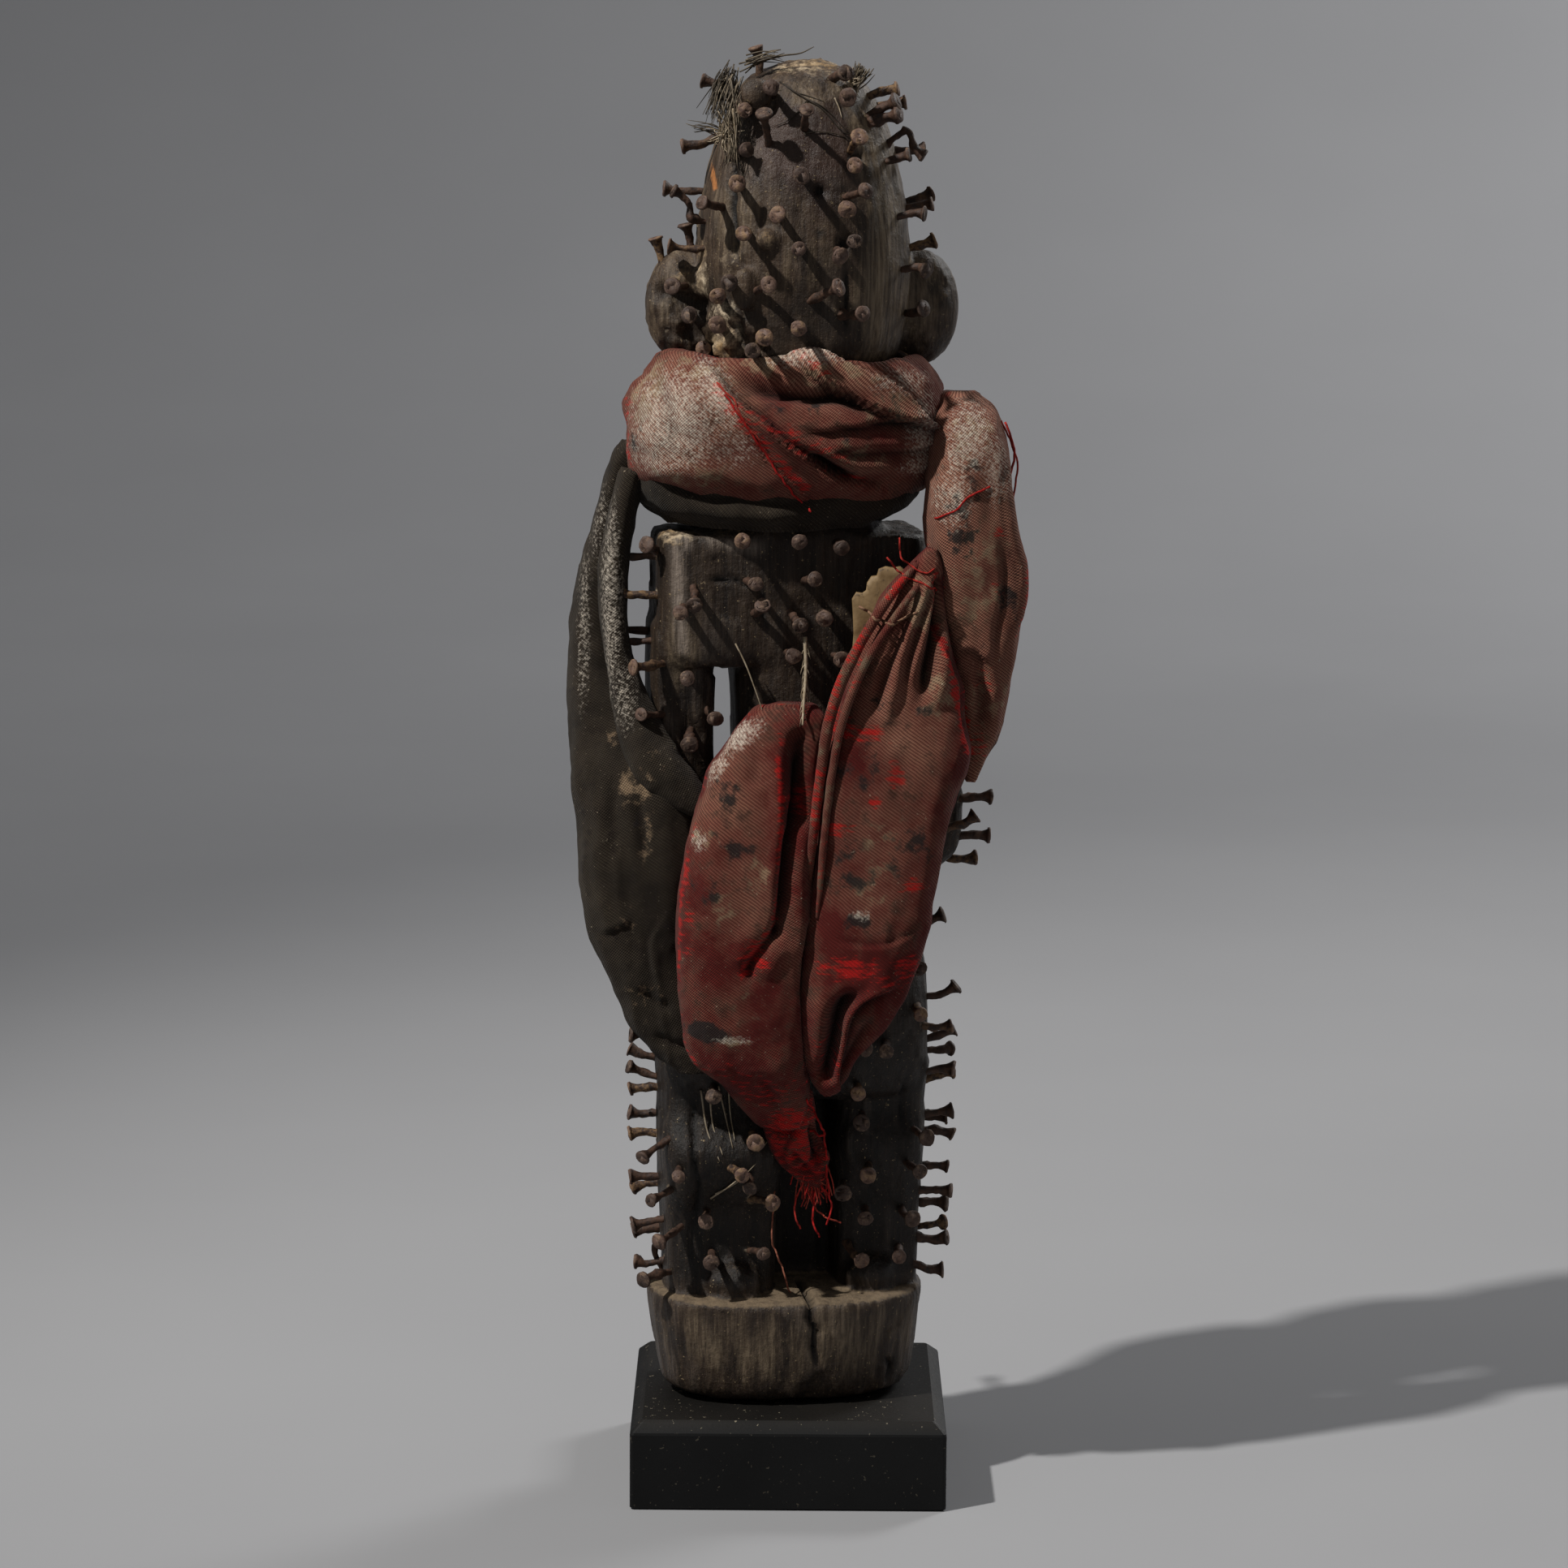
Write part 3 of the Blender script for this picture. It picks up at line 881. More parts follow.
def cloth_material(name, deep, dusty, soil, bright, pitch=0.72):
    """Twill: dust lies on its raised threads, and the cloth's own colour shows between them."""
    s = Surface(name, Specular_IOR_Level=0.08, Sheen_Weight=0.05, Sheen_Roughness=0.6)
    weave = s.attribute("weave", vector=True)
    wander = s.noise(260, 2, 0.5)
    split = s.node("ShaderNodeSeparateXYZ", {0: weave})
    across = s.math("ADD", split.outputs[0], s.math("MULTIPLY", wander, 0.5))
    along = s.math("ADD", split.outputs[1], s.math("MULTIPLY", wander, 0.4))
    turn = 2 * math.pi / pitch
    diagonal = s.math("SINE", s.math("MULTIPLY", s.math("ADD", along, s.math("MULTIPLY", across, 0.7)), turn))
    thread = s.math("SINE", s.math("MULTIPLY", s.math("SUBTRACT", along, across), turn * 1.3))
    twill = s.math("ADD", s.math("MULTIPLY", diagonal, 0.30), s.math("MULTIPLY", thread, 0.20))
    twill = s.math("ADD", twill, 0.5)
    cloud = s.noise(85, 4, 0.6)
    mottle = s.noise(300, 5, 0.65)
    grit = s.noise(1400, 4, 0.65)
    brushed = s.noise((0.30, 1.0, 1.0), 4, 0.65, source=weave)

    def masked(key, low, high, source, most=1.0):
        mark = s.attribute(key)
        broken = s.math("ADD", mark, s.math("MULTIPLY", s.math("SUBTRACT", source, 0.5), 2.4))
        return s.math("MULTIPLY", s.remap(broken, low, high, 0, most), s.remap(mark, 0.03, 0.2))

    raised = s.remap(twill, 0.25, 0.75, 0.35, 1.0)
    light = s.math("ADD", s.attribute("light"), s.math("SUBTRACT", s.math("MULTIPLY", cloud, 1.5), 0.75))
    light = s.math("ADD", light, s.math("SUBTRACT", s.math("MULTIPLY", mottle, 0.9), 0.45))
    light = s.math("MULTIPLY", s.remap(light, 0.0, 1.0), raised)
    tone = s.mix(light, deep, dusty)
    tone = s.mix(s.math("MULTIPLY", s.remap(mottle, 0.50, 0.64, 0, 0.75), s.remap(cloud, 0.42, 0.56)), tone, soil)
    tone = s.mix(masked("tan", 0.28, 0.66, mottle, 0.8), tone, (0.300, 0.205, 0.125))
    tone = s.mix(masked("red", 0.42, 0.78, brushed, 0.85), tone, bright)
    tone = s.mix(masked("black", 0.30, 0.62, mottle, 0.92), tone, (0.020, 0.016, 0.015))
    tone = s.mix(masked("white", 0.15, 1.05, grit, 0.95), tone, (0.72, 0.63, 0.52))
    tone = s.mix(s.remap(twill, 0.2, 0.6, 0.5, 0.0), tone, s.mix(0.75, tone, (0.010, 0.002, 0.002)))
    tone = s.mix(s.math("MULTIPLY", s.attribute("fold"), 0.94), tone, (0.006, 0.002, 0.0015))
    specks = s.math("MULTIPLY", s.remap(grit, 0.66, 0.72, 0, 0.75), s.remap(mottle, 0.4, 0.6, 0.3, 1))
    tone = s.mix(specks, tone, (0.46, 0.37, 0.26))
    normal = s.bump(twill, 0.20, 0.9)
    normal = s.bump(grit, 0.2, 0.55, normal)
    normal = s.bump(mottle, 0.5, 0.5, normal)
    return s.finish(tone, 0.88, normal)


def ring_points(ring, count, power):
    """Evenly spaced points round a squared ellipse, starting at its front."""
    z, x, y, wide, deep = ring
    angle = np.linspace(0, 2 * math.pi, 361) + math.pi / 2
    c, s = np.cos(angle), np.sin(angle)
    px = x + wide * np.sign(c) * np.abs(c) ** (2 / power)
    py = y + deep * np.sign(s) * np.abs(s) ** (2 / power)
    gone = np.concatenate([[0], np.cumsum(np.hypot(np.diff(px), np.diff(py)))])
    want = np.linspace(0, gone[-1], count, endpoint=False)
    points = np.stack([np.interp(want, gone, px), np.interp(want, gone, py), np.full(count, z)], -1)
    return points, want - gone[-1] / 2


def skin(rings, sides, rows, power=2.3, hoop=False):
    """A closed skin through rings [z, x, y, half width, half depth]: a bag, or a hoop when the last row
    joins the first. Returns vertices, quads and the weave's own coordinates."""
    rings = np.array(rings, float)
    table = curve_through(np.vstack([rings, rings[:1]]) if hoop else rings, rows + (1 if hoop else 0))
    if hoop:
        table = table[:-1]
    else:
        table[:, 3:] = np.maximum(table[:, 3:], 0.25)
    vertices, weave = [], []
    gone = 0.0
    for row, ring in enumerate(table):
        if row:
            gone += float(np.linalg.norm(ring[:3] - table[row - 1][:3]))
        points, around = ring_points(ring, sides, power)
        vertices.append(points)
        weave.append(np.stack([around, np.full(sides, gone), np.zeros(sides)], -1))
    vertices, weave = np.vstack(vertices), np.vstack(weave)
    faces = []
    count = len(table)
    for row in range(count if hoop else count - 1):
        a, b = row * sides, ((row + 1) % count) * sides
        for k in range(sides):
            n = (k + 1) % sides
            faces.append((a + k, a + n, b + n, b + k))
    if not hoop:
        last = (count - 1) * sides
        for k in range(sides // 2 - 1):
            faces.append((k + 1, k, sides - 1 - k, sides - 2 - k))
            faces.append((last + k, last + k + 1, last + sides - 2 - k, last + sides - 1 - k))
    faces = np.array(faces)
    middle = vertices[faces]
    if np.einsum("ij,ij->i", middle[:, 0], np.cross(middle[:, 1], middle[:, 2])).sum() < 0:
        faces = faces[:, ::-1]
    return vertices, faces, weave


def fold_push(x, z, folds):
    """How far folds push a cloth out, and how deep in a fold each point lies."""
    push = np.zeros(len(x))
    shade = np.zeros(len(x))
    wiggle = 0.5 * smooth_noise(np.stack([x / 6, z / 6, np.zeros(len(x))], -1), 3)
    for kind, line, height, width, *ends in folds:
        start, end = ends if ends else (0.0, 0.0)
        line = curve_through(np.array(line, float), 6 * len(line))
        far, where = signed_line(x + wiggle, z + wiggle, line)
        taper = (start + (1 - start) * ease(where, 0.0, 0.3)) * (end + (1 - end) * (1 - ease(where, 0.7, 1.0)))
        if kind == "step":
            above = 0.5 + 0.5 * np.tanh(far / 0.3)
            lift = height * (np.exp(-np.abs(far) / width) * above)
            drop = 0.7 * height * np.exp(-np.abs(far) / (0.45 * width)) * (1 - above)
            push += taper * (lift - drop)
            shade += taper * np.exp(-np.abs(far + 0.5) / 0.8) * (1 - above) * min(height / 1.5, 1)
        elif kind == "ridge":
            push += taper * height * np.exp(-(far / width) ** 2)
        elif kind == "valley":
            push -= taper * height * np.exp(-(far / width) ** 2)
            shade += taper * np.exp(-(far / (0.7 * width)) ** 2) * min(height / 3, 1)
        elif kind == "roll":
            push += taper * height * np.sqrt(np.clip(1 - (far / width) ** 2, 0, 1))
            shade += 0.5 * taper * np.exp(-((np.abs(far) - width * 1.1) / 0.45) ** 2)
    return push, np.clip(shade, 0, 1)


MASKS = ("white", "black", "tan", "red", "light")


def dress(part, folds, flow, seed, masks, loose=1.0, light=0.3, lift=None):
    """Folds a skin. flow is the direction [x, z] that its small folds run in, light how bleached it is,
    and lift, as points of [x, rise], bends its back up or down along its width."""
    vertices, faces, weave = part
    if lift:
        lift = np.array(lift, float)
        vertices = vertices.copy()
        vertices[:, 2] += np.interp(vertices[:, 0], lift[:, 0], lift[:, 1]) * ease(-vertices[:, 1], 2, 14)
    normals = normals_of(vertices, faces)
    x, y, z = vertices.T
    back = ease(-normals[:, 1], -0.1, 0.35)
    push, shade = fold_push(x, z, folds)
    push, shade = push * back, shade * back
    flow = np.array(flow, float) / np.linalg.norm(flow)
    along = x * flow[0] + z * flow[1]
    aside = x * -flow[1] + z * flow[0]
    soft = fractal(np.stack([aside / 4.6, along / 26, y / 7], -1), 2, seed)
    crease = 1 - 2 * np.abs(smooth_noise(np.stack([aside / 8, along / 30, y / 9], -1) + 7, seed + 5))
    pucker = 0.5 - np.abs(smooth_noise(np.stack([aside / 3.2, along / 8, y / 5], -1) + 3, seed + 7))
    small = fractal(vertices / 3.4, 3, seed + 9)
    front = 1 - back
    push += loose * ((0.5 + 0.8 * front) * soft + (0.3 + 0.9 * front) * crease * 0.6 + 0.55 * pucker) + 0.14 * small
    moved = vertices + normals * push[:, None]
    spotted = 0.5 * (smooth_noise(vertices / 8, seed + 20) + 1)
    found = {key: np.maximum(spot_mask(x, z, masks.get(key, [])), line_mask(x, z, masks.get(key + "_lines", []))) * back
             for key in MASKS}
    found["red"] = np.maximum(found["red"], 0.42 * front * ease(spotted, 0.5, 0.8))
    found["black"] = np.maximum(found["black"], 0.36 * front * ease(1 - spotted, 0.6, 0.85))
    found["light"] = np.maximum(found["light"], light)
    return (moved, faces, shade, *(found[key] for key in MASKS), weave)


def red_parts():
    hoop = [[218.0, -2.9, 0.6, 28.6, 20.2], [221.2, -2.8, 0.2, 32.2, 22.6], [226.0, -2.8, 0, 33.2, 23.8],
            [232.0, -2.4, -0.5, 33.8, 24.4], [237.5, -2.2, -0.5, 33.6, 24.4], [243.0, -1.2, -0.4, 31.4, 22.8],
            [247.2, -0.8, 0, 27.6, 20.6], [246.6, 0.6, 0.8, 23.4, 19.4], [240.0, 0.4, 0.5, 20.6, 17.4],
            [226.0, -1.0, 0.3, 21.6, 16.8], [219.4, -2.0, 0.4, 25.0, 18.0]]
    band_folds = [
        ("step", [[30.5, 232.0], [25.7, 235.4], [22.3, 240.6], [12.1, 246.4], [0.9, 248.0], [-9.5, 250.5]], 2.6, 3.2, 0.8, 0.6),
        ("step", [[-2.0, 247.6], [6.5, 242.6], [15.0, 238.0], [23.5, 234.4], [31.0, 232.4]], 2.2, 2.6, 0.2, 0.6),
        ("valley", [[-14.5, 245.0], [-6.0, 241.6], [2.5, 240.2], [9.4, 240.2], [17.5, 237.2]], 2.4, 1.5),
        ("step", [[-2.0, 234.9], [5.0, 234.4], [12.0, 234.4], [21.0, 235.0], [29.5, 234.0]], 1.2, 2.0),
        ("step", [[4.0, 231.4], [10.0, 230.2], [18.0, 229.5], [29.6, 229.4]], 1.4, 2.2, 0.0, 0.6),
        ("ridge", [[-10.0, 238.0], [-3.0, 234.2], [4.3, 230.2], [12.4, 227.3], [21.3, 225.6], [28.6, 226.8]], 1.7, 2.1, 0.3, 0.5),
        ("valley", [[2.4, 229.0], [7.0, 226.0], [12.5, 222.8]], 3.0, 1.3),
        ("step", [[15.8, 221.4], [9.9, 223.5], [1.4, 229.0], [-4.6, 234.0], [-12.2, 240.0], [-17.0, 244.5]], 1.8, 3.4, 0.5, 0.7),
        ("step", [[2.4, 219.6], [-1.9, 223.4], [-6.5, 228.0], [-10.4, 235.6], [-15.5, 242.4]], 0.55, 1.2, 0.6, 0.6),
        ("ridge", [[-33.0, 222.6], [-24.0, 225.0], [-12.0, 224.4]], 0.9, 2.4),
        ("ridge", [[-23.0, 236.0], [-27.0, 231.0]], 1.6, 7.0, 1.0, 1.0),
        ("valley", [[-31.0, 246.0], [-26.0, 238.0], [-24.0, 228.0]], 0.8, 2.0),
    ]
    band_masks = {
        "light": [[-26, 234, 12, 16, 1.0], [-14, 238, 8, 12, 0.9], [-12, 227, 12, 6, 0.7], [6, 244.5, 16, 4.4, 0.95, -0.4],
                  [22, 240, 8, 7, 0.8], [26, 228, 5, 5, 0.8], [12, 226, 12, 2.6, 0.6]],
        "white": [[-25, 235, 9, 10, 0.60], [-16.5, 241, 4, 8, 0.50, -0.3], [-29, 228, 6, 4.4, 0.44], [-13, 230, 7, 5, 0.26],
                  [26.5, 233, 3.6, 9, 0.44], [22, 243, 7, 3, 0.34], [2, 247.4, 9, 1.6, 0.50, -0.5], [26, 225.6, 5, 2, 0.42]],
        "red_lines": [([[-15.5, 241.5], [-8.5, 233.0], [-3.0, 226.6], [2.0, 222.0]], 2.0, 0.62),
                      ([[-12.0, 239.0], [-2.0, 232.0], [8.0, 225.6], [14.0, 222.6]], 1.3, 0.55),
                      ([[-1.0, 233.8], [5.0, 230.4], [10.0, 228.0]], 1.6, 0.5),
                      ([[-9.0, 249.5], [0.0, 247.5], [8.0, 243.0]], 0.9, 0.5),
                      ([[-34.5, 240.0], [-35.5, 231.0], [-34.0, 222.0]], 1.4, 0.5)],
        "black": [[-33, 230.5, 2.6, 3.4, 0.42], [19, 238, 3, 5, 0.32, -0.6], [0, 238.6, 9, 1.6, 0.25], [13, 232.4, 4, 2, 0.3]],
        "tan": [[-8, 247, 7, 3, 0.5], [8, 244.5, 10, 3, 0.5, -0.5], [-32, 242, 5, 7, 0.6], [12, 229, 8, 3, 0.3],
                [-19, 245, 7, 5, 0.5], [-22, 224, 10, 3, 0.34], [20, 238, 6, 5, 0.36]],
    }
    band_folds = [(kind, line, height * 1.35, width, *ends) for kind, line, height, width, *ends in band_folds]
    band_lift = [[-34, 2.0], [-26, 1.6], [-20, 0.5], [-10, 0], [31, 0]]
    band = dress(skin(hoop, 300, 72, 2.35, hoop=True), band_folds, (1, -0.35), 101, band_masks, 0.8, 0.36, band_lift)

    drape_rings = [[157.9, 38.3, -13.0, 1.0, 2.6], [161.4, 38.7, -13.2, 2.0, 3.6], [168.5, 39.6, -13.4, 4.0, 4.8],
                   [177.2, 39.9, -13.6, 5.7, 5.6], [186.0, 39.5, -14.0, 7.6, 6.6], [194.7, 39.6, -14.2, 8.7, 7.4],
                   [203.5, 39.2, -14.0, 9.4, 8.0], [212.1, 37.8, -13.4, 9.1, 8.8], [220.8, 37.0, -12.2, 8.4, 9.6],
                   [226.0, 37.3, -10.8, 8.3, 10.2], [231.6, 36.8, -9.0, 7.6, 10.2], [236.2, 36.0, -7.4, 6.2, 8.6],
                   [239.4, 35.0, -6.0, 3.2, 5.4]]
    drape_folds = [
        ("roll", [[44.2, 236.0], [46.4, 228.0], [45.2, 220.0], [46.2, 211.0], [47.8, 204.0], [47.6, 194.0], [46.0, 184.0]], 1.0, 1.5),
        ("valley", [[43.4, 214.0], [44.4, 204.0], [43.6, 192.0], [42.0, 182.0]], 1.0, 1.0),
        ("step", [[34.0, 187.0], [38.0, 186.8], [42.0, 183.4]], 0.9, 2.4),
        ("ridge", [[36.0, 226.0], [35.0, 214.0], [36.0, 204.0], [38.0, 196.0]], 1.0, 3.4),
        ("valley", [[40.6, 232.0], [41.4, 222.0], [41.0, 212.0]], 0.7, 1.8),
        ("valley", [[39.0, 184.0], [40.2, 176.0], [39.4, 168.0]], 1.1, 1.4),
        ("ridge", [[31.5, 206.0], [33.0, 196.0], [36.0, 184.0], [37.6, 172.0]], 0.8, 1.5),
    ]
    drape_masks = {
        "white": [[37, 232, 5, 7, 0.46], [33.5, 219, 4, 6, 0.42], [42.5, 226, 3, 8, 0.38], [34, 228, 2, 6, 0.4]],
        "black": [[35.5, 213, 4.2, 9, 0.50, -0.15], [45.3, 198, 2.0, 9, 0.52], [38, 224, 3, 6, 0.3], [41, 190, 2.6, 4, 0.3]],
        "tan": [[40, 204, 6, 12, 0.42], [38, 232, 6, 7, 0.34], [41, 176, 5, 8, 0.3]],
        "red": [[43, 212, 1.8, 2.4, 0.5], [43.5, 200, 2, 2.5, 0.42], [41, 180, 3, 4, 0.36], [39, 166, 4, 6, 0.4]],
        "red_lines": [([[46.8, 236.0], [47.0, 222.0], [48.4, 205.0], [47.8, 190.0]], 0.9, 0.62),
                      ([[31.2, 203.0], [32.0, 194.0], [34.0, 184.0], [36.4, 174.0], [38.2, 164.0]], 1.0, 0.72)],
    }
    drape = dress(skin(drape_rings, 84, 150, 2.9), drape_folds, (0.1, -1), 131, drape_masks, 0.9, 0.86)

    loop_rings = [[90.9, 8.0, -23.0, 1.6, 2.4], [94.1, 8.2, -23.6, 4.0, 3.6], [99.5, 8.8, -24.4, 6.4, 4.6],
                  [106.6, 11.2, -25.0, 9.8, 5.6], [113.7, 13.0, -25.4, 11.8, 6.2], [120.8, 14.6, -25.6, 12.6, 6.6],
                  [127.9, 15.9, -25.6, 13.4, 7.0], [135.0, 17.0, -25.2, 13.5, 7.4], [142.0, 18.0, -25.0, 14.0, 7.6],
                  [149.1, 18.8, -24.8, 14.3, 7.8], [156.1, 19.9, -24.6, 14.7, 7.9], [163.1, 21.4, -24.4, 15.4, 7.8],
                  [170.1, 22.0, -24.0, 14.4, 7.4], [177.1, 22.6, -23.4, 12.6, 7.0], [184.0, 22.9, -22.8, 10.8, 6.4],
                  [191.0, 23.6, -22.0, 8.9, 5.8], [197.9, 25.6, -21.0, 6.2, 5.0], [204.8, 28.1, -20.0, 2.9, 3.6],
                  [208.3, 29.2, -19.4, 1.2, 2.4]]
    loop_folds = [
        ("valley", [[30.6, 201.0], [29.5, 190.0], [27.8, 182.6], [26.2, 175.0]], 3.0, 1.5, 0.8, 0.0),
        ("ridge", [[27.4, 200.0], [24.0, 191.0], [21.0, 181.0], [19.4, 170.0]], 1.5, 1.6, 0.8, 0.0),
        ("valley", [[25.8, 199.0], [22.2, 190.0], [18.6, 181.0], [16.0, 172.0]], 1.2, 1.1, 0.8, 0.0),
        ("ridge", [[29.4, 199.0], [27.0, 189.0], [24.0, 179.0]], 1.3, 1.4, 0.8, 0.0),
        ("valley", [[28.4, 199.0], [25.6, 189.0], [22.6, 179.0]], 1.3, 0.9, 0.9, 0.0),
        ("ridge", [[31.4, 194.0], [31.0, 184.0], [30.4, 174.0]], 1.2, 1.8),
        ("step", [[37.6, 164.5], [36.2, 169.0], [35.0, 176.5], [32.6, 184.4], [30.7, 190.0], [30.0, 202.0]], 0.8, 1.4, 0.8, 0.8),
        ("ridge", [[12.0, 176.0], [10.0, 160.0], [9.5, 144.0]], 0.8, 3.4),
        ("valley", [[15.2, 115.0], [10.6, 111.4], [8.8, 104.6], [7.3, 96.0]], 5.0, 1.5, 0.1, 0.9),
        ("step", [[10.4, 94.6], [11.2, 102.5], [13.0, 109.6], [17.4, 114.0], [25.0, 116.2]], 1.8, 3.0, 0.8, 0.0),
        ("valley", [[18.0, 110.0], [14.6, 104.0], [12.0, 97.0]], 1.4, 1.3, 0.0, 0.8),
        ("step", [[27.4, 128.0], [18.0, 124.6], [8.0, 126.4]], 0.55, 2.4),
        ("valley", [[26.0, 150.0], [22.0, 158.0], [24.0, 168.0]], 0.6, 2.4),
        ("ridge", [[6.6, 118.0], [6.4, 106.0], [7.0, 96.0]], 1.0, 1.6),
    ]
    loop_masks = {
        "light": [[25, 180, 12, 26, 0.75], [20, 150, 14, 22, 0.48], [30, 196, 6, 12, 0.9]],
        "red": [[14, 170.5, 8, 2.2, 0.66], [22, 161.5, 2.2, 3.6, 0.75], [17.5, 156, 1.8, 1.6, 0.8], [9, 150, 4.6, 1.8, 0.68],
                [25.5, 138, 3.6, 2.0, 0.62], [12.8, 120, 8, 3.0, 0.70], [24.5, 120, 3.6, 4, 0.62], [10, 172, 3, 5, 0.5],
                [20.5, 117, 6, 3, 0.4], [9, 100, 5, 9, 0.36], [14, 186, 2, 5, 0.36]],
        "red_lines": [([[36.6, 166.0], [34.6, 176.0], [32.2, 184.6], [30.8, 192.0], [30.0, 203.0]], 1.0, 0.78),
                      ([[7.5, 178.0], [5.4, 164.0], [4.6, 154.0]], 1.2, 0.6)],
        "black": [[13.4, 163.5, 6, 5.6, 0.42], [24, 145.5, 6, 6, 0.44], [13.0, 139.8, 5.5, 3.6, 0.42], [13.4, 130.2, 3.4, 2.0, 0.8],
                  [11.0, 146.0, 4, 5, 0.3], [18, 175, 3, 5, 0.24], [28, 176, 2.4, 4, 0.34]],
        "tan": [[27, 196, 4, 7, 0.5], [20, 148, 5, 5, 0.36], [16, 136, 5, 5, 0.36], [30, 178, 4, 7, 0.4], [17, 142, 6, 4, 0.3]],
        "white": [[14.5, 131.6, 2.2, 1.2, 0.5]],
    }
    loop_folds = [(kind, line, height * 1.2, width, *ends) for kind, line, height, width, *ends in loop_folds]
    loop = dress(skin(loop_rings, 112, 215, 2.7), loop_folds, (-0.22, -1), 151, loop_masks, 0.7, 0.10)

    lobe_rings = [[82.7, -2.0, -20.6, 4.4, 3.4], [87.1, -3.2, -22.0, 6.8, 4.2], [91.6, -5.1, -23.6, 9.0, 4.8],
                  [96.9, -8.2, -25.4, 12.0, 5.6], [101.3, -9.4, -26.0, 13.1, 6.0], [106.7, -9.7, -26.4, 13.5, 6.4],
                  [113.8, -9.9, -26.4, 14.0, 6.8], [120.9, -10.1, -26.2, 14.1, 7.2], [127.9, -10.2, -26.0, 14.2, 7.4],
                  [135.0, -9.9, -25.6, 14.1, 7.6], [142.0, -9.2, -25.2, 13.8, 7.6], [150.0, -7.9, -24.8, 12.9, 7.4],
                  [156.1, -6.9, -24.2, 12.5, 7.2], [161.4, -5.8, -23.8, 11.8, 6.8], [166.6, -4.0, -23.0, 10.4, 6.2],
                  [170.1, -2.7, -22.2, 9.3, 5.4], [172.9, -1.0, -21.4, 7.4, 4.2], [174.6, 0.2, -20.8, 4.4, 2.6]]
    lobe_folds = [
        ("valley", [[2.0, 168.6], [2.2, 160.0], [1.6, 152.5]], 6.5, 2.4, 0.6, 0.7),
        ("valley", [[1.2, 154.0], [-1.0, 147.0], [-1.6, 140.0], [-1.9, 134.6], [-3.4, 127.6]], 5.0, 1.15, 0.9, 0.5),
        ("ridge", [[-5.4, 172.5], [-3.4, 166.0], [-3.2, 154.0], [-3.6, 145.0], [-3.8, 136.0], [-4.6, 127.6]], 1.2, 1.5),
        ("ridge", [[3.2, 151.0], [1.4, 143.4], [1.2, 136.0], [1.4, 127.6], [1.8, 118.0]], 1.4, 1.7, 0.3, 0.0),
        ("valley", [[-3.2, 128.0], [-6.3, 124.4], [-9.4, 120.1], [-8.8, 115.6]], 2.0, 1.0, 0.9, 0.0),
        ("ridge", [[-0.6, 125.6], [-4.0, 121.6], [-6.6, 117.0]], 0.9, 1.8),
        ("ridge", [[-6.6, 131.0], [-9.8, 126.0], [-12.4, 119.0]], 0.8, 2.0),
        ("valley", [[-9.4, 168.0], [-8.0, 163.0], [-9.0, 158.0]], 0.8, 1.6),
        ("ridge", [[-15.0, 158.0], [-16.5, 146.0], [-17.5, 130.0]], 0.6, 3.0),
        ("valley", [[3.6, 128.0], [3.5, 112.0], [4.0, 96.0]], 2.0, 1.2, 0.4, 0.6),
        ("valley", [[-22.4, 96.0], [-14.0, 92.0], [-8.0, 88.0]], 0.7, 1.6),
        ("ridge", [[-4.0, 104.0], [-2.0, 96.0], [-1.0, 86.0]], 0.9, 2.2),
        ("valley", [[-6.4, 98.0], [-3.4, 90.0], [-2.4, 84.0]], 0.8, 1.1),
    ]
    lobe_masks = {
        "light": [[-12, 158, 11, 16, 0.6], [-9, 135, 9, 14, 0.5], [0, 124, 5, 8, 0.4], [-14, 112, 8, 8, 0.26]],
        "white": [[-12.0, 168.6, 4.0, 3.4, 0.62, 1.0], [-16.0, 162.6, 2.2, 4.0, 0.46, 0.6], [-19.6, 147, 1.6, 2.4, 0.44],
                  [-12.4, 104.4, 4.4, 0.9, 0.5]],
        "black": [[-11.5, 145.6, 3.6, 2.4, 0.62], [-17.4, 136.4, 2.2, 3.6, 0.55], [-20.6, 138.5, 1.8, 2.0, 0.45],
                  [-17.4, 105.9, 4.4, 2.5, 1.1, -0.1], [-14, 158, 3, 4, 0.34], [-14.5, 148.6, 3, 2, 0.3], [-5, 110, 5, 6, 0.2]],
        "tan": [[-6.7, 140.3, 3, 5, 0.36], [-18.6, 147.4, 2.4, 3, 0.42], [-15, 133, 4, 4, 0.34], [-8, 112, 5, 4, 0.22],
                [-12.5, 104.2, 4.6, 1.0, 0.7]],
        "red": [[-2.4, 168.5, 1.4, 1.6, 0.6], [-7.6, 122.4, 3.8, 4.4, 0.62], [0, 84, 6, 5, 0.75], [-5, 92, 9, 5, 0.42],
                [-14, 96, 8, 4, 0.32], [2, 156, 4, 4, 0.7], [-22.5, 140, 1.6, 5, 0.6], [-22, 128, 2, 8, 0.42]],
        "red_lines": [([[-3.0, 165.0], [-2.4, 152.0], [-2.6, 138.0], [-3.8, 128.0]], 1.0, 0.72),
                      ([[-5.0, 128.0], [-8.0, 123.0], [-10.4, 119.0]], 1.5, 0.7),
                      ([[-20.4, 150.0], [-23.2, 138.0], [-24.0, 122.0], [-23.4, 104.0], [-19.0, 97.0]], 0.8, 0.55),
                      ([[3.4, 122.0], [3.4, 108.0], [3.6, 94.0]], 0.9, 0.5)],
    }
    lobe = dress(skin(lobe_rings, 108, 195, 2.7), lobe_folds, (0.12, -1), 171, lobe_masks, 0.65, 0.12)

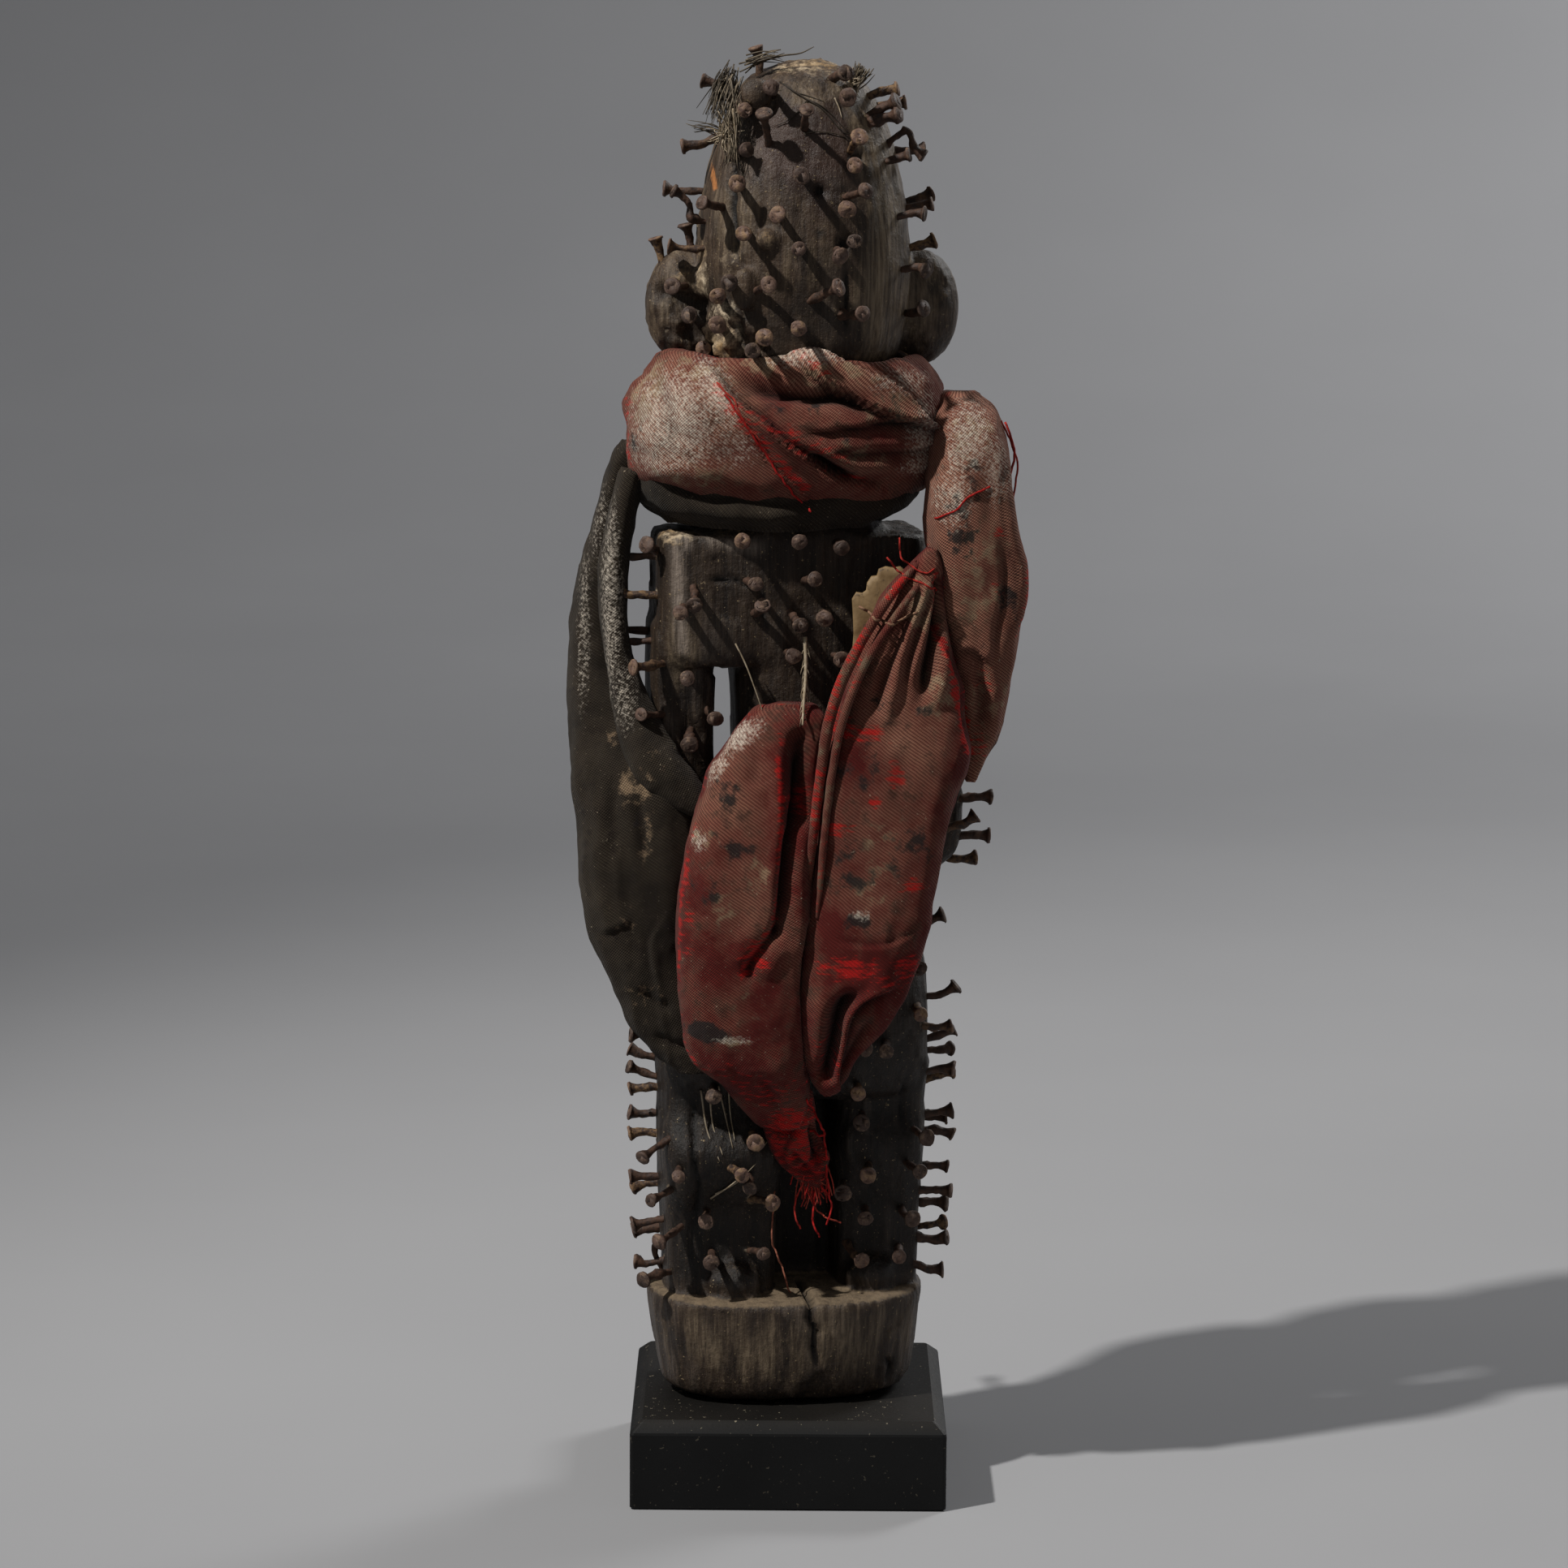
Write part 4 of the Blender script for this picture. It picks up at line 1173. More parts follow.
    tail_rings = [[66.8, 5.6, -16.4, 0.8, 1.2], [69.4, 4.9, -16.6, 3.0, 2.2], [72.8, 3.4, -17.0, 4.8, 2.6],
                  [76.6, 2.2, -17.6, 5.6, 3.0], [81.0, 0.2, -18.6, 5.2, 3.4], [86.0, -0.6, -20.0, 5.6, 3.6],
                  [91.0, -1.4, -21.4, 5.2, 3.2]]
    tail_folds = [
        ("valley", [[5.8, 82.2], [6.1, 79.0], [5.9, 76.0]], 3.8, 1.3, 0.9, 0.9),
        ("step", [[2.4, 86.0], [0.4, 80.0], [-0.6, 75.6], [2.0, 73.6], [4.4, 76.0], [4.6, 80.0]], 0.9, 1.2),
        ("valley", [[-4.4, 82.8], [0.0, 81.6], [3.0, 83.0]], 1.2, 0.8),
        ("valley", [[0.0, 79.0], [2.4, 75.0], [5.6, 71.0]], 1.0, 0.8),
        ("ridge", [[7.8, 84.0], [8.2, 78.0], [7.2, 72.0]], 0.8, 0.9),
    ]
    tail_masks = {"red": [[2, 80, 12, 14, 0.62]], "black": [[5.9, 79, 1.5, 2.4, 0.7]]}
    tail = dress(skin(tail_rings, 60, 62, 2.2), tail_folds, (0.4, -1), 191, tail_masks, 0.6, 0.0)
    return [band, drape, loop, lobe, tail]


def hem(points, radius, flatten, seed, red):
    """A rolled edge of cloth along the points."""
    path = curve_through(points, 150)
    ends = np.sin(np.clip(np.linspace(0, 1, 150), 0.02, 0.98) * math.pi) ** 0.35
    thick = radius * (1 + 0.10 * smooth_noise(path / 5, seed)) * np.clip(ends, 0.35, 1)
    vertices, faces = sweep(path, thick, 12, True, flatten, [1, 0, 0])
    vertices = vertices + 0.10 * fractal(vertices / 2.2, 2, seed + 3)[:, None]
    count = len(vertices)
    gone = np.repeat(np.linspace(0, 110, 150), 12)
    around = np.tile(np.arange(12) * 0.6, 150)
    weave = np.stack([around, gone, np.zeros(count)], -1)
    spots = np.clip(red * ease(smooth_noise(vertices / 7, seed + 8), -0.2, 0.3), 0, 1)
    nothing = np.zeros(count)
    return vertices, np.array(faces), nothing, nothing, nothing + 0.12, nothing + 0.2, spots, nothing + 0.35, weave


def build_red_cloth():
    parts = red_parts()
    parts.append(hem([[29.0, -20.0, 208.0], [20.6, -27.2, 199.6], [12.6, -30.4, 186.8], [7.9, -31.6, 174.6],
                      [5.7, -31.6, 160.4], [4.2, -30.6, 146.0], [3.4, -28.6, 136.0]], 1.25, 1.0, 201, 0.6))
    parts.append(hem([[29.6, -21.0, 205.0], [23.0, -28.4, 197.4], [15.2, -31.2, 185.6], [10.4, -32.4, 173.4],
                      [8.0, -32.6, 160.4], [6.4, -31.8, 144.0], [5.4, -30.6, 130.6]], 0.95, 1.0, 207, 0.35))
    vertices, faces, fold, *masks, weave = gather(parts)
    look = cloth_material("red_twill", (0.095, 0.011, 0.008), (0.315, 0.155, 0.100), (0.048, 0.024, 0.015),
                          (0.500, 0.010, 0.008))
    piece = make_object("red_cloth", vertices, faces, "red_twill", look, fold=fold, weave=weave,
                        **dict(zip(MASKS, masks)))
    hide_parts("red_cloth")
    return piece


def build_dark_cloth():
    strip = [[212.4, -5.0, -0.4, 23.0, 16.6], [215.2, -4.6, -0.4, 28.0, 19.8], [218.8, -4.2, -0.2, 30.4, 20.6],
             [222.0, -4.0, 0, 30.0, 20.0], [220.0, -2.0, 0.4, 22.0, 16.4], [214.6, -2.4, 0.2, 20.8, 14.8]]
    strip_folds = [
        ("valley", [[-28.0, 221.0], [-18.0, 219.0], [-4.0, 217.6], [10.0, 219.4]], 0.9, 1.1),
        ("ridge", [[-22.0, 216.4], [-8.0, 214.8], [6.0, 216.6]], 0.9, 1.6),
    ]
    none = {}
    strip_lift = [[-32, 2], [-26, 0.5], [-20, 0], [30, 0]]
    parts = [dress(skin(strip, 220, 34, 2.35, hoop=True), strip_folds, (1, 0), 221, none, 0.9, 0.35, strip_lift)]
    outer = [[94.9, -20.8, -21.4, 3.6, 2.2], [98.1, -22.2, -21.6, 6.0, 2.9], [101.7, -24.0, -21.6, 7.8, 3.4],
             [107.0, -26.4, -21.4, 8.6, 3.8], [112.4, -28.6, -21.0, 8.9, 4.2], [117.7, -30.6, -20.8, 9.3, 4.5],
             [124.8, -32.2, -20.4, 10.3, 4.9], [133.1, -33.1, -19.8, 11.2, 5.3], [142.5, -33.4, -18.8, 12.0, 5.6],
             [150.0, -33.8, -17.6, 12.2, 5.8], [156.0, -35.2, -16.0, 11.8, 5.9], [162.0, -37.6, -13.0, 9.8, 6.2],
             [168.0, -40.4, -9.0, 7.4, 6.8], [177.6, -42.6, -4.0, 5.8, 7.8], [188.1, -43.6, 0.6, 4.6, 8.2],
             [201.7, -41.8, 2.8, 3.8, 8.2], [214.1, -39.6, 3.0, 3.4, 8.0], [222.7, -37.4, 2.0, 3.2, 7.6],
             [229.0, -34.6, 0.6, 2.6, 6.6]]
    outer_folds = [
        ("step", [[-21.0, 150.6], [-25.5, 153.4], [-30.1, 159.0], [-34.1, 164.6], [-38.0, 173.0]], 1.6, 2.6, 0.7, 0.5),
        ("valley", [[-33.4, 156.0], [-31.9, 148.8], [-31.6, 140.0]], 1.0, 1.1),
        ("step", [[-42.0, 125.2], [-37.6, 126.9], [-33.0, 129.6]], 0.8, 2.0),
        ("valley", [[-33.4, 114.4], [-29.0, 110.8], [-24.7, 109.6]], 1.0, 1.2),
        ("ridge", [[-40.0, 150.0], [-41.0, 138.0], [-39.0, 124.0]], 0.8, 2.4),
        ("valley", [[-38.0, 160.0], [-38.6, 150.0], [-38.0, 140.0]], 0.7, 1.5),
        ("valley", [[-30.0, 104.0], [-25.0, 101.0], [-20.0, 100.6]], 1.0, 1.2),
        ("step", [[-26.0, 132.0], [-30.0, 124.0], [-29.0, 114.0]], 0.7, 2.0),
    ]
    outer_masks = {
        "tan": [[-33.6, 157, 3.4, 4.4, 0.62], [-30.6, 146, 3, 6, 0.3], [-38, 166, 3, 3, 0.3], [-30, 112, 6, 5, 0.24],
                [-36, 130, 5, 4, 0.22]],
        "white": [[-45, 190, 1.6, 18, 0.26], [-42, 212, 3, 10, 0.2]],
        "black": [[-33.0, 150.5, 1.2, 2.2, 0.5], [-25, 126, 4, 8, 0.25]],
    }
    parts.append(dress(skin(outer, 100, 190, 2.5), outer_folds, (0.12, -1), 231, outer_masks, 0.9, 0.30))
    inner = [[150.6, -19.0, -20.6, 1.6, 1.6], [152.6, -21.8, -20.8, 4.0, 2.8], [156.5, -25.2, -20.6, 6.2, 3.6],
             [160.9, -28.6, -19.6, 6.2, 4.0], [166.6, -32.0, -16.8, 5.2, 4.4], [171.5, -34.2, -13.6, 4.4, 4.6],
             [177.6, -36.2, -10.0, 3.5, 4.8], [187.3, -38.4, -7.4, 2.7, 5.0], [199.5, -38.8, -6.0, 2.5, 5.2],
             [213.4, -37.0, -5.6, 2.6, 5.4], [223.0, -34.6, -5.4, 2.4, 5.0]]
    inner_folds = [("ridge", [[-38.6, 200.0], [-36.6, 180.0], [-31.0, 166.0], [-24.0, 157.0]], 0.7, 1.8)]
    inner_masks = {"white": [[-39, 196, 2.2, 22, 0.42], [-36, 176, 3, 8, 0.25]], "tan": [[-30, 162, 4, 5, 0.2]]}
    parts.append(dress(skin(inner, 56, 150, 2.3), inner_folds, (0.1, -1), 251, inner_masks, 0.6, 0.35))
    vertices, faces, fold, *masks, weave = gather(parts)
    look = cloth_material("dark_felt", (0.016, 0.0125, 0.0085), (0.070, 0.053, 0.034), (0.011, 0.008, 0.006),
                          (0.060, 0.046, 0.030))
    piece = make_object("dark_cloth", vertices, faces, "dark_felt", look, fold=fold, weave=weave,
                        **dict(zip(MASKS, masks)))
    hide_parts("dark_cloth")
    return piece


red_cloth = build_red_cloth()
dark_cloth = build_dark_cloth()
cloth_tree = BVHTree.FromPolygons([v.co / MM for v in red_cloth.data.vertices],
                                  [p.vertices[:] for p in red_cloth.data.polygons])

# Fibres, tufts, threads and the horn scrap


def fibre_material():
    s = Surface("dry_fibre", Specular_IOR_Level=0.3)
    tone = s.attribute("tone")
    streak = s.noise(900, 3, 0.6)
    colour = s.mix(s.remap(streak, 0.35, 0.65), (0.010, 0.007, 0.005), (0.040, 0.028, 0.018))
    pale = s.mix(s.remap(streak, 0.35, 0.65), (0.30, 0.22, 0.13), (0.52, 0.43, 0.31))
    return s.finish(s.mix(tone, colour, pale), 0.65, s.bump(streak, 0.1, 0.5))


def horn_material():
    s = Surface("horn", Specular_IOR_Level=0.4)
    streak = s.noise((900, 300, 160), 4, 0.55)
    cloud = s.noise(150, 4, 0.6)
    speck = s.noise(900, 4, 0.65)
    colour = s.mix(s.remap(cloud, 0.35, 0.65), (0.15, 0.090, 0.036), (0.30, 0.20, 0.095))
    colour = s.mix(s.remap(streak, 0.45, 0.7, 0, 0.6), colour, (0.15, 0.095, 0.045))
    colour = s.mix(s.remap(speck, 0.58, 0.68, 0, 0.7), colour, (0.07, 0.045, 0.025))
    return s.finish(colour, 0.6, s.bump(speck, 0.15, 0.6))


def surface_y(x, z, off=0.0):
    """How far back the wood reaches at [x, z], less off."""
    hit = wood_tree.ray_cast(Vector((x, -100, z)), Vector((0, 1, 0)))[0]
    return (hit[1] if hit else -6.0) - off


def laid(line, off=0.3):
    """A line of [x, z] laid on the back of the wood."""
    return [[x, surface_y(x, z, off), z] for x, z in line]


def strand(path, radius, tone, steps=9, taper=0.35, sides=5):
    path = curve_through(path, steps)
    radii = radius * (1 - (1 - taper) * np.linspace(0, 1, steps) ** 1.6)
    vertices, faces = sweep(path, radii, sides + sides % 2, True)
    return vertices, faces, np.full(len(vertices), tone)


def fan(rng, root, tips, spread, count, radius, tones, sag=0.0, steps=9):
    """Strands from round a root to round the line between two tips."""
    root, tips = np.array(root, float), np.array(tips, float)
    made = []
    for _ in range(count):
        start = root + rng.normal(0, spread[0], 3)
        end = tips[0] + (tips[1] - tips[0]) * rng.uniform(0, 1) + rng.normal(0, spread[1], 3)
        middle = (start + end) / 2 + rng.normal(0, spread[1] * 0.5, 3) + [0, 0, sag]
        tone = rng.uniform(*tones)
        made.append(strand([start, middle, end], radius * rng.uniform(0.6, 1.3), tone, steps))
    return made


def build_bristles():
    rng = np.random.default_rng(29)
    parts = fan(rng, [-14.2, -12.5, 307.6], [[-19.0, -12.5, 300.5], [-15.4, -17.0, 296.6]], (1.0, 1.1), 64, 0.15,
                (0.0, 0.22), 0.9)
    parts += fan(rng, [-13.0, -14.0, 306.0], [[-16.5, -17.5, 298.5], [-13.4, -18.5, 295.0]], (1.2, 1.0), 30, 0.16,
                 (0.1, 0.55), 0.6)
    parts += fan(rng, [-14.6, -15.4, 294.4], [[-22.4, -15.5, 297.6], [-21.4, -14.8, 295.6]], (0.6, 0.7), 12, 0.16,
                 (0.0, 0.3), 0.5)
    centre = np.array([-15.2, -16.6, 294.6])
    for k in range(40):
        angle = rng.uniform(0, 2 * math.pi)
        reach = rng.uniform(1.6, 4.6)
        end = centre + [reach * math.cos(angle), -rng.uniform(0.2, 1.4), reach * math.sin(angle)]
        bend = (centre + end) / 2 + rng.normal(0, 0.4, 3)
        parts.append(strand([centre + rng.normal(0, 0.5, 3), bend, end], rng.uniform(0.10, 0.22),
                            rng.uniform(0.65, 1.0)))
    parts += fan(rng, [-13.5, -16.0, 299.5], [[-15.8, -18.2, 290.0], [-12.8, -18.6, 288.5]], (1.2, 0.9), 22, 0.16,
                 (0.1, 0.75), 0.2)
    parts += fan(rng, [-10.5, -7.0, 308.6], [[-4.0, -7.5, 311.6], [-3.0, -9.0, 310.6]], (0.9, 0.6), 16, 0.17,
                 (0.0, 0.35), 0.6)
    parts.append(strand([[-9.5, -8.0, 309.2], [-4.4, -8.0, 310.9], [0.4, -7.0, 311.5], [3.4, -6.0, 312.9]], 0.24, 0.2, 14))
    parts.append(strand([[-11.0, -8.0, 310.0], [-7.2, -8.0, 311.3], [-3.8, -7.6, 312.2]], 0.2, 0.3, 12))
    vertices, faces, tone = gather(parts)
    piece = make_object("bristles", vertices, faces, "dry_fibre", FIBRE, tone=tone)
    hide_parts("bristle_tuft")


def build_twigs():
    rng = np.random.default_rng(31)
    parts = fan(rng, [11.6, -8.6, 304.0], [[11.8, -9.0, 309.6], [15.6, -9.0, 307.4]], (0.7, 0.55), 54, 0.22, (0.05, 0.5))
    parts += fan(rng, [11.0, -9.6, 304.6], [[9.6, -9.5, 307.6], [13.0, -11.0, 305.6]], (0.8, 0.6), 20, 0.2, (0.4, 0.9))
    vertices, faces, tone = gather(parts)
    piece = make_object("twigs", vertices, faces, "dry_fibre", FIBRE, tone=tone)
    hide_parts("twig_tuft")


def build_strands():
    """Loose straws and hairs that lie on the wood and hang out of the cloth."""
    rng = np.random.default_rng(37)
    lines = [
        ([[-3.7, 305.7], [-1.2, 304.1], [2.1, 302.1], [5.4, 300.1], [9.5, 295.6], [11.2, 295.2]], 0.2, 0.0),
        ([[2.1, 302.1], [4.6, 301.1], [7.0, 299.3], [10.8, 295.2]], 0.16, 0.0),
        ([[1.3, 295.2], [4.6, 295.6], [8.7, 295.0], [11.2, 293.6]], 0.14, 0.05),
        ([[7.8, 302.5], [8.7, 300.5], [9.3, 298.5]], 0.16, 0.7),
        ([[2.1, 302.1], [-1.1, 298.4], [-4.4, 296.8]], 0.15, 0.0),
        ([[-12.2, 289.8], [-11.3, 286.1], [-10.9, 282.9]], 0.16, 0.1),
        ([[-5.4, 304.2], [0.4, 303.4], [5.6, 301.8]], 0.14, 0.1),
        ([[-19.4, 89.6], [-18.0, 81.0], [-15.2, 74.8]], 0.22, 0.55),
        ([[-17.6, 90.4], [-16.8, 82.0], [-14.6, 76.2]], 0.2, 0.7),
        ([[-15.6, 91.0], [-14.0, 83.4], [-12.4, 77.4]], 0.2, 0.5),
        ([[-13.4, 90.0], [-13.0, 84.0], [-12.0, 79.0]], 0.18, 0.6),
        ([[-17.2, 65.4], [-11.0, 70.6], [-5.0, 78.4]], 0.2, 0.75),
        ([[-16.2, 66.6], [-11.6, 69.4], [-7.4, 74.0]], 0.16, 0.6),
    ]
    parts = [strand(laid(line, 0.35), radius, tone, 22, 0.5) for line, radius, tone in lines]
    parts.append(strand([[2.4, -20.4, 189.4], [2.6, -21.8, 182.0], [2.2, -24.8, 176.0], [2.0, -27.6, 171.6]], 0.42, 0.75,
                        20, 0.5, 8))
    for k in range(26):
        place = k / 25
        start = np.array([2.5 - 0.4 * place, -20.8 - 5.0 * place ** 1.5, 187.5 - 14 * place])
        side = -1 if k % 2 else 1
        end = start + [side * rng.uniform(0.5, 1.15), -0.2, -rng.uniform(1.6, 2.8)]
        parts.append(strand([start, (start + end) / 2 + [side * 0.12, 0, 0.3], end], 0.12, rng.uniform(0.45, 0.9), 5))
    parts.append(strand([[-12.4, -17.4, 187.4], [-10.2, -20.0, 183.4], [-8.4, -21.6, 179.0], [-6.2, -23.4, 173.0]], 0.2,
                        0.45, 14, 0.6))
    vertices, faces, tone = gather(parts)
    piece = make_object("strands", vertices, faces, "dry_fibre", FIBRE, tone=tone)
    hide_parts("feather_strand")


def build_horn():
    """A flat scrap with a stepped edge, as a thin plate with rounded faces."""
    edge = [[12.3, 186.0], [12.6, 190.0], [12.2, 197.5], [13.1, 199.0], [14.4, 198.8], [15.2, 199.4], [15.4, 201.0],
            [16.3, 202.4], [17.5, 202.6], [17.9, 204.0], [19.4, 204.6], [21.0, 204.3], [22.5, 204.6], [23.8, 203.6],
            [24.6, 200.6], [24.8, 193.0], [22.0, 188.0]]
    outline = np.array(edge, float)
    fine = []
    for a, b in zip(outline, np.roll(outline, -1, axis=0)):
        count = max(int(np.linalg.norm(b - a) / 0.5), 1)
        fine += [a + (b - a) * k / count for k in range(count)]
    fine = np.array(fine)
    middle = fine.mean(0)
    vertices, faces = [], []
    layers = [(-19.9, 0.97), (-20.3, 0.985), (-20.5, 0.96), (-20.6, 0.80), (-20.65, 0.5), (-20.6, 0.2)]
    layers = [(-18.9, 0.2), (-18.8, 0.8), (-18.9, 0.96), (-19.2, 0.985)] + layers
    for y, scale in layers:
        ring = middle + (fine - middle) * scale
        bow = 0.05 * (ring[:, 1] - 195) + 0.25 * fractal(np.column_stack([ring / 2.4, np.full(len(ring), y)]), 2, 3)
        vertices.append(np.column_stack([ring[:, 0], y + bow, ring[:, 1]]))
    count = len(fine)
    for row in range(len(layers) - 1):
        for k in range(count):
            n = (k + 1) % count
            faces.append((row * count + k, row * count + n, (row + 1) * count + n, (row + 1) * count + k))
    faces.append(tuple(range(count - 1, -1, -1)))
    faces.append(tuple((len(layers) - 1) * count + k for k in range(count)))
    piece = make_object("horn_plate", np.vstack(vertices), faces, "horn", horn_material())
    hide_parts("horn_scrap")


THREADS = [
    ([[44.6, 234.4], [46.7, 227.8], [45.6, 220.9], [46.4, 210.5], [48.0, 203.6], [48.2, 196.6], [47.2, 186]], -11, 0.26, 0.9),
    ([[43.8, 234.6], [47.4, 226.0], [46.4, 216.0], [47.4, 206.0], [48.6, 199.0]], -10, 0.22, 0.8),
    ([[29.6, 214.8], [33.9, 216.9], [36.5, 219.7], [41.2, 221.8]], None, 0.22, 1.0),
    ([[-14.8, 241.2], [-12.2, 237.5], [-9.7, 234], [-6.3, 228.9], [-3.7, 224.6], [-1.5, 222.1], [0.5, 219.0],
      [3.4, 216.4]], None, 0.24, 1.0),
    ([[-16.6, 243.5], [-13.0, 240.0], [-10.6, 235.4], [-7.2, 231.6]], None, 0.2, 0.8),
    ([[3.2, 89.6], [6.7, 83.3], [7.1, 81.5], [4.1, 81.3]], None, 0.24, 1.0),
    ([[7.3, 80.6], [7.8, 75.2], [8.5, 66.2]], -19, 0.22, 1.0),
    ([[-3.4, 66.5], [-3.8, 56.2], [-2, 50.7], [0.3, 43.6]], -14.5, 0.2, 0.35),
    ([[4.1, 69.1], [6.0, 63.0], [11.2, 60.2]], -17, 0.2, 0.7),
    ([[5.6, 68.0], [5.0, 62.0], [6.4, 57.0]], -18, 0.22, 1.0),
    ([[3.0, 70.0], [1.0, 64.0], [2.4, 59.0]], -18, 0.2, 0.9),
    ([[6.6, 69.0], [9.0, 64.6], [8.0, 60.0]], -18, 0.2, 1.0),
    ([[19.6, 207.0], [22.6, 203.4], [27.6, 201.6], [30.2, 199.8]], None, 0.22, 0.9),
    ([[22.0, 211.0], [23.0, 206.4], [27.4, 203.8], [29.6, 204.6]], None, 0.2, 0.9),
    ([[13.8, 196.4], [17.4, 194.6], [21.0, 193.6], [26.0, 196.0]], None, 0.3, 0.1),
]


def build_threads():
    """Loose threads: laid on the cloth where no depth is given, otherwise hanging free at that depth."""
    parts = []
    for line, depth, radius, red in THREADS:
        line = curve_through([[x, 0, z] for x, z in line], 9 * len(line))[:, [0, 2]]
        path = []
        for k, (x, z) in enumerate(line):
            hit = cloth_tree.ray_cast(Vector((x, -100, z)), Vector((0, 1, 0)))[0] if depth is None else None
            path.append([x, (hit[1] - 0.25) if hit else (depth or -24) - 0.6 * math.sin(k * 0.7), z])
        path = np.array(path)
        path[1:-1, 1] = (path[:-2, 1] + path[1:-1, 1] + path[2:, 1]) / 3
        path += 0.18 * fractal(path / 1.6, 2, 303)[:, None]
        vertices, faces = sweep(path, np.full(len(path), radius), 6, True)
        parts.append((vertices, faces, np.full(len(vertices), red)))
    rng = np.random.default_rng(43)
    for _ in range(46):
        x = rng.uniform(1.6, 8.6)
        start = np.array([x, -17.4, 70.4 - abs(x - 5.2) * -0.6 + rng.uniform(-1.5, 1.5)])
        end = start + [rng.normal(0, 1.1), rng.normal(-0.6, 0.5), -rng.uniform(2.4, 7.0)]
        parts.append(strand([start, (start + end) / 2 + rng.normal(0, 0.5, 3), end], 0.17, rng.uniform(0.6, 1.0), 8, 0.7))
    vertices, faces, red = gather(parts)
    s = Surface("red_thread", Specular_IOR_Level=0.15)
    twist = s.noise(1500, 3, 0.6)
    tone = s.mix(s.attribute("red"), (0.240, 0.165, 0.100), (0.430, 0.014, 0.012))
    look = s.finish(s.mix(s.remap(twist, 0.4, 0.65, 0, 0.7), tone, (0.06, 0.012, 0.010)), 0.85)
    return make_object("loose_threads", vertices, faces, "red_twill", look, red=red)


FIBRE = fibre_material()
build_bristles()
build_twigs()
build_strands()
build_horn()
build_threads()

# Plinth: a black block with a chamfered, slightly softened top


def build_plinth():
    wide, deep, slope, soft = 34.25, 32.4, 2.4, 0.35
    rings = [(0.0, 0.5), (0.5, 0.0), (PLINTH_TOP - slope - soft, 0.0), (PLINTH_TOP - slope + soft * 0.4, 0.16),
             (PLINTH_TOP - 0.4, slope - 0.25), (PLINTH_TOP, slope + 0.25)]
    corner_steps = 4
    vertices, faces = [], []
    for z, inset in rings:
        w, d = wide - inset, deep - inset
        for quarter in range(4):
            cx = (w - 0.8) * (1 if quarter in (0, 3) else -1)
            cy = (d - 0.8) * (1 if quarter in (0, 1) else -1)
            for step in range(corner_steps):
                angle = (quarter + step / (corner_steps - 1)) * math.pi / 2
                vertices.append((cx + 0.8 * math.cos(angle), cy + 0.8 * math.sin(angle), z))
    count = 4 * corner_steps
    for row in range(len(rings) - 1):
        for k in range(count):
            n = (k + 1) % count
            faces.append((row * count + k, row * count + n, (row + 1) * count + n, (row + 1) * count + k))
    faces.append(tuple(reversed(range(count))))
    faces.append(tuple((len(rings) - 1) * count + k for k in range(count)))
    vertices = np.array(vertices)
    piece = make_object("plinth_block", vertices, faces, "plinth_black", plinth_material(), smooth=False,
                        up=(vertices[:, 2] > PLINTH_TOP - 1).astype(float))
    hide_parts("plinth")
    return piece


build_plinth()

# Stage, light and camera


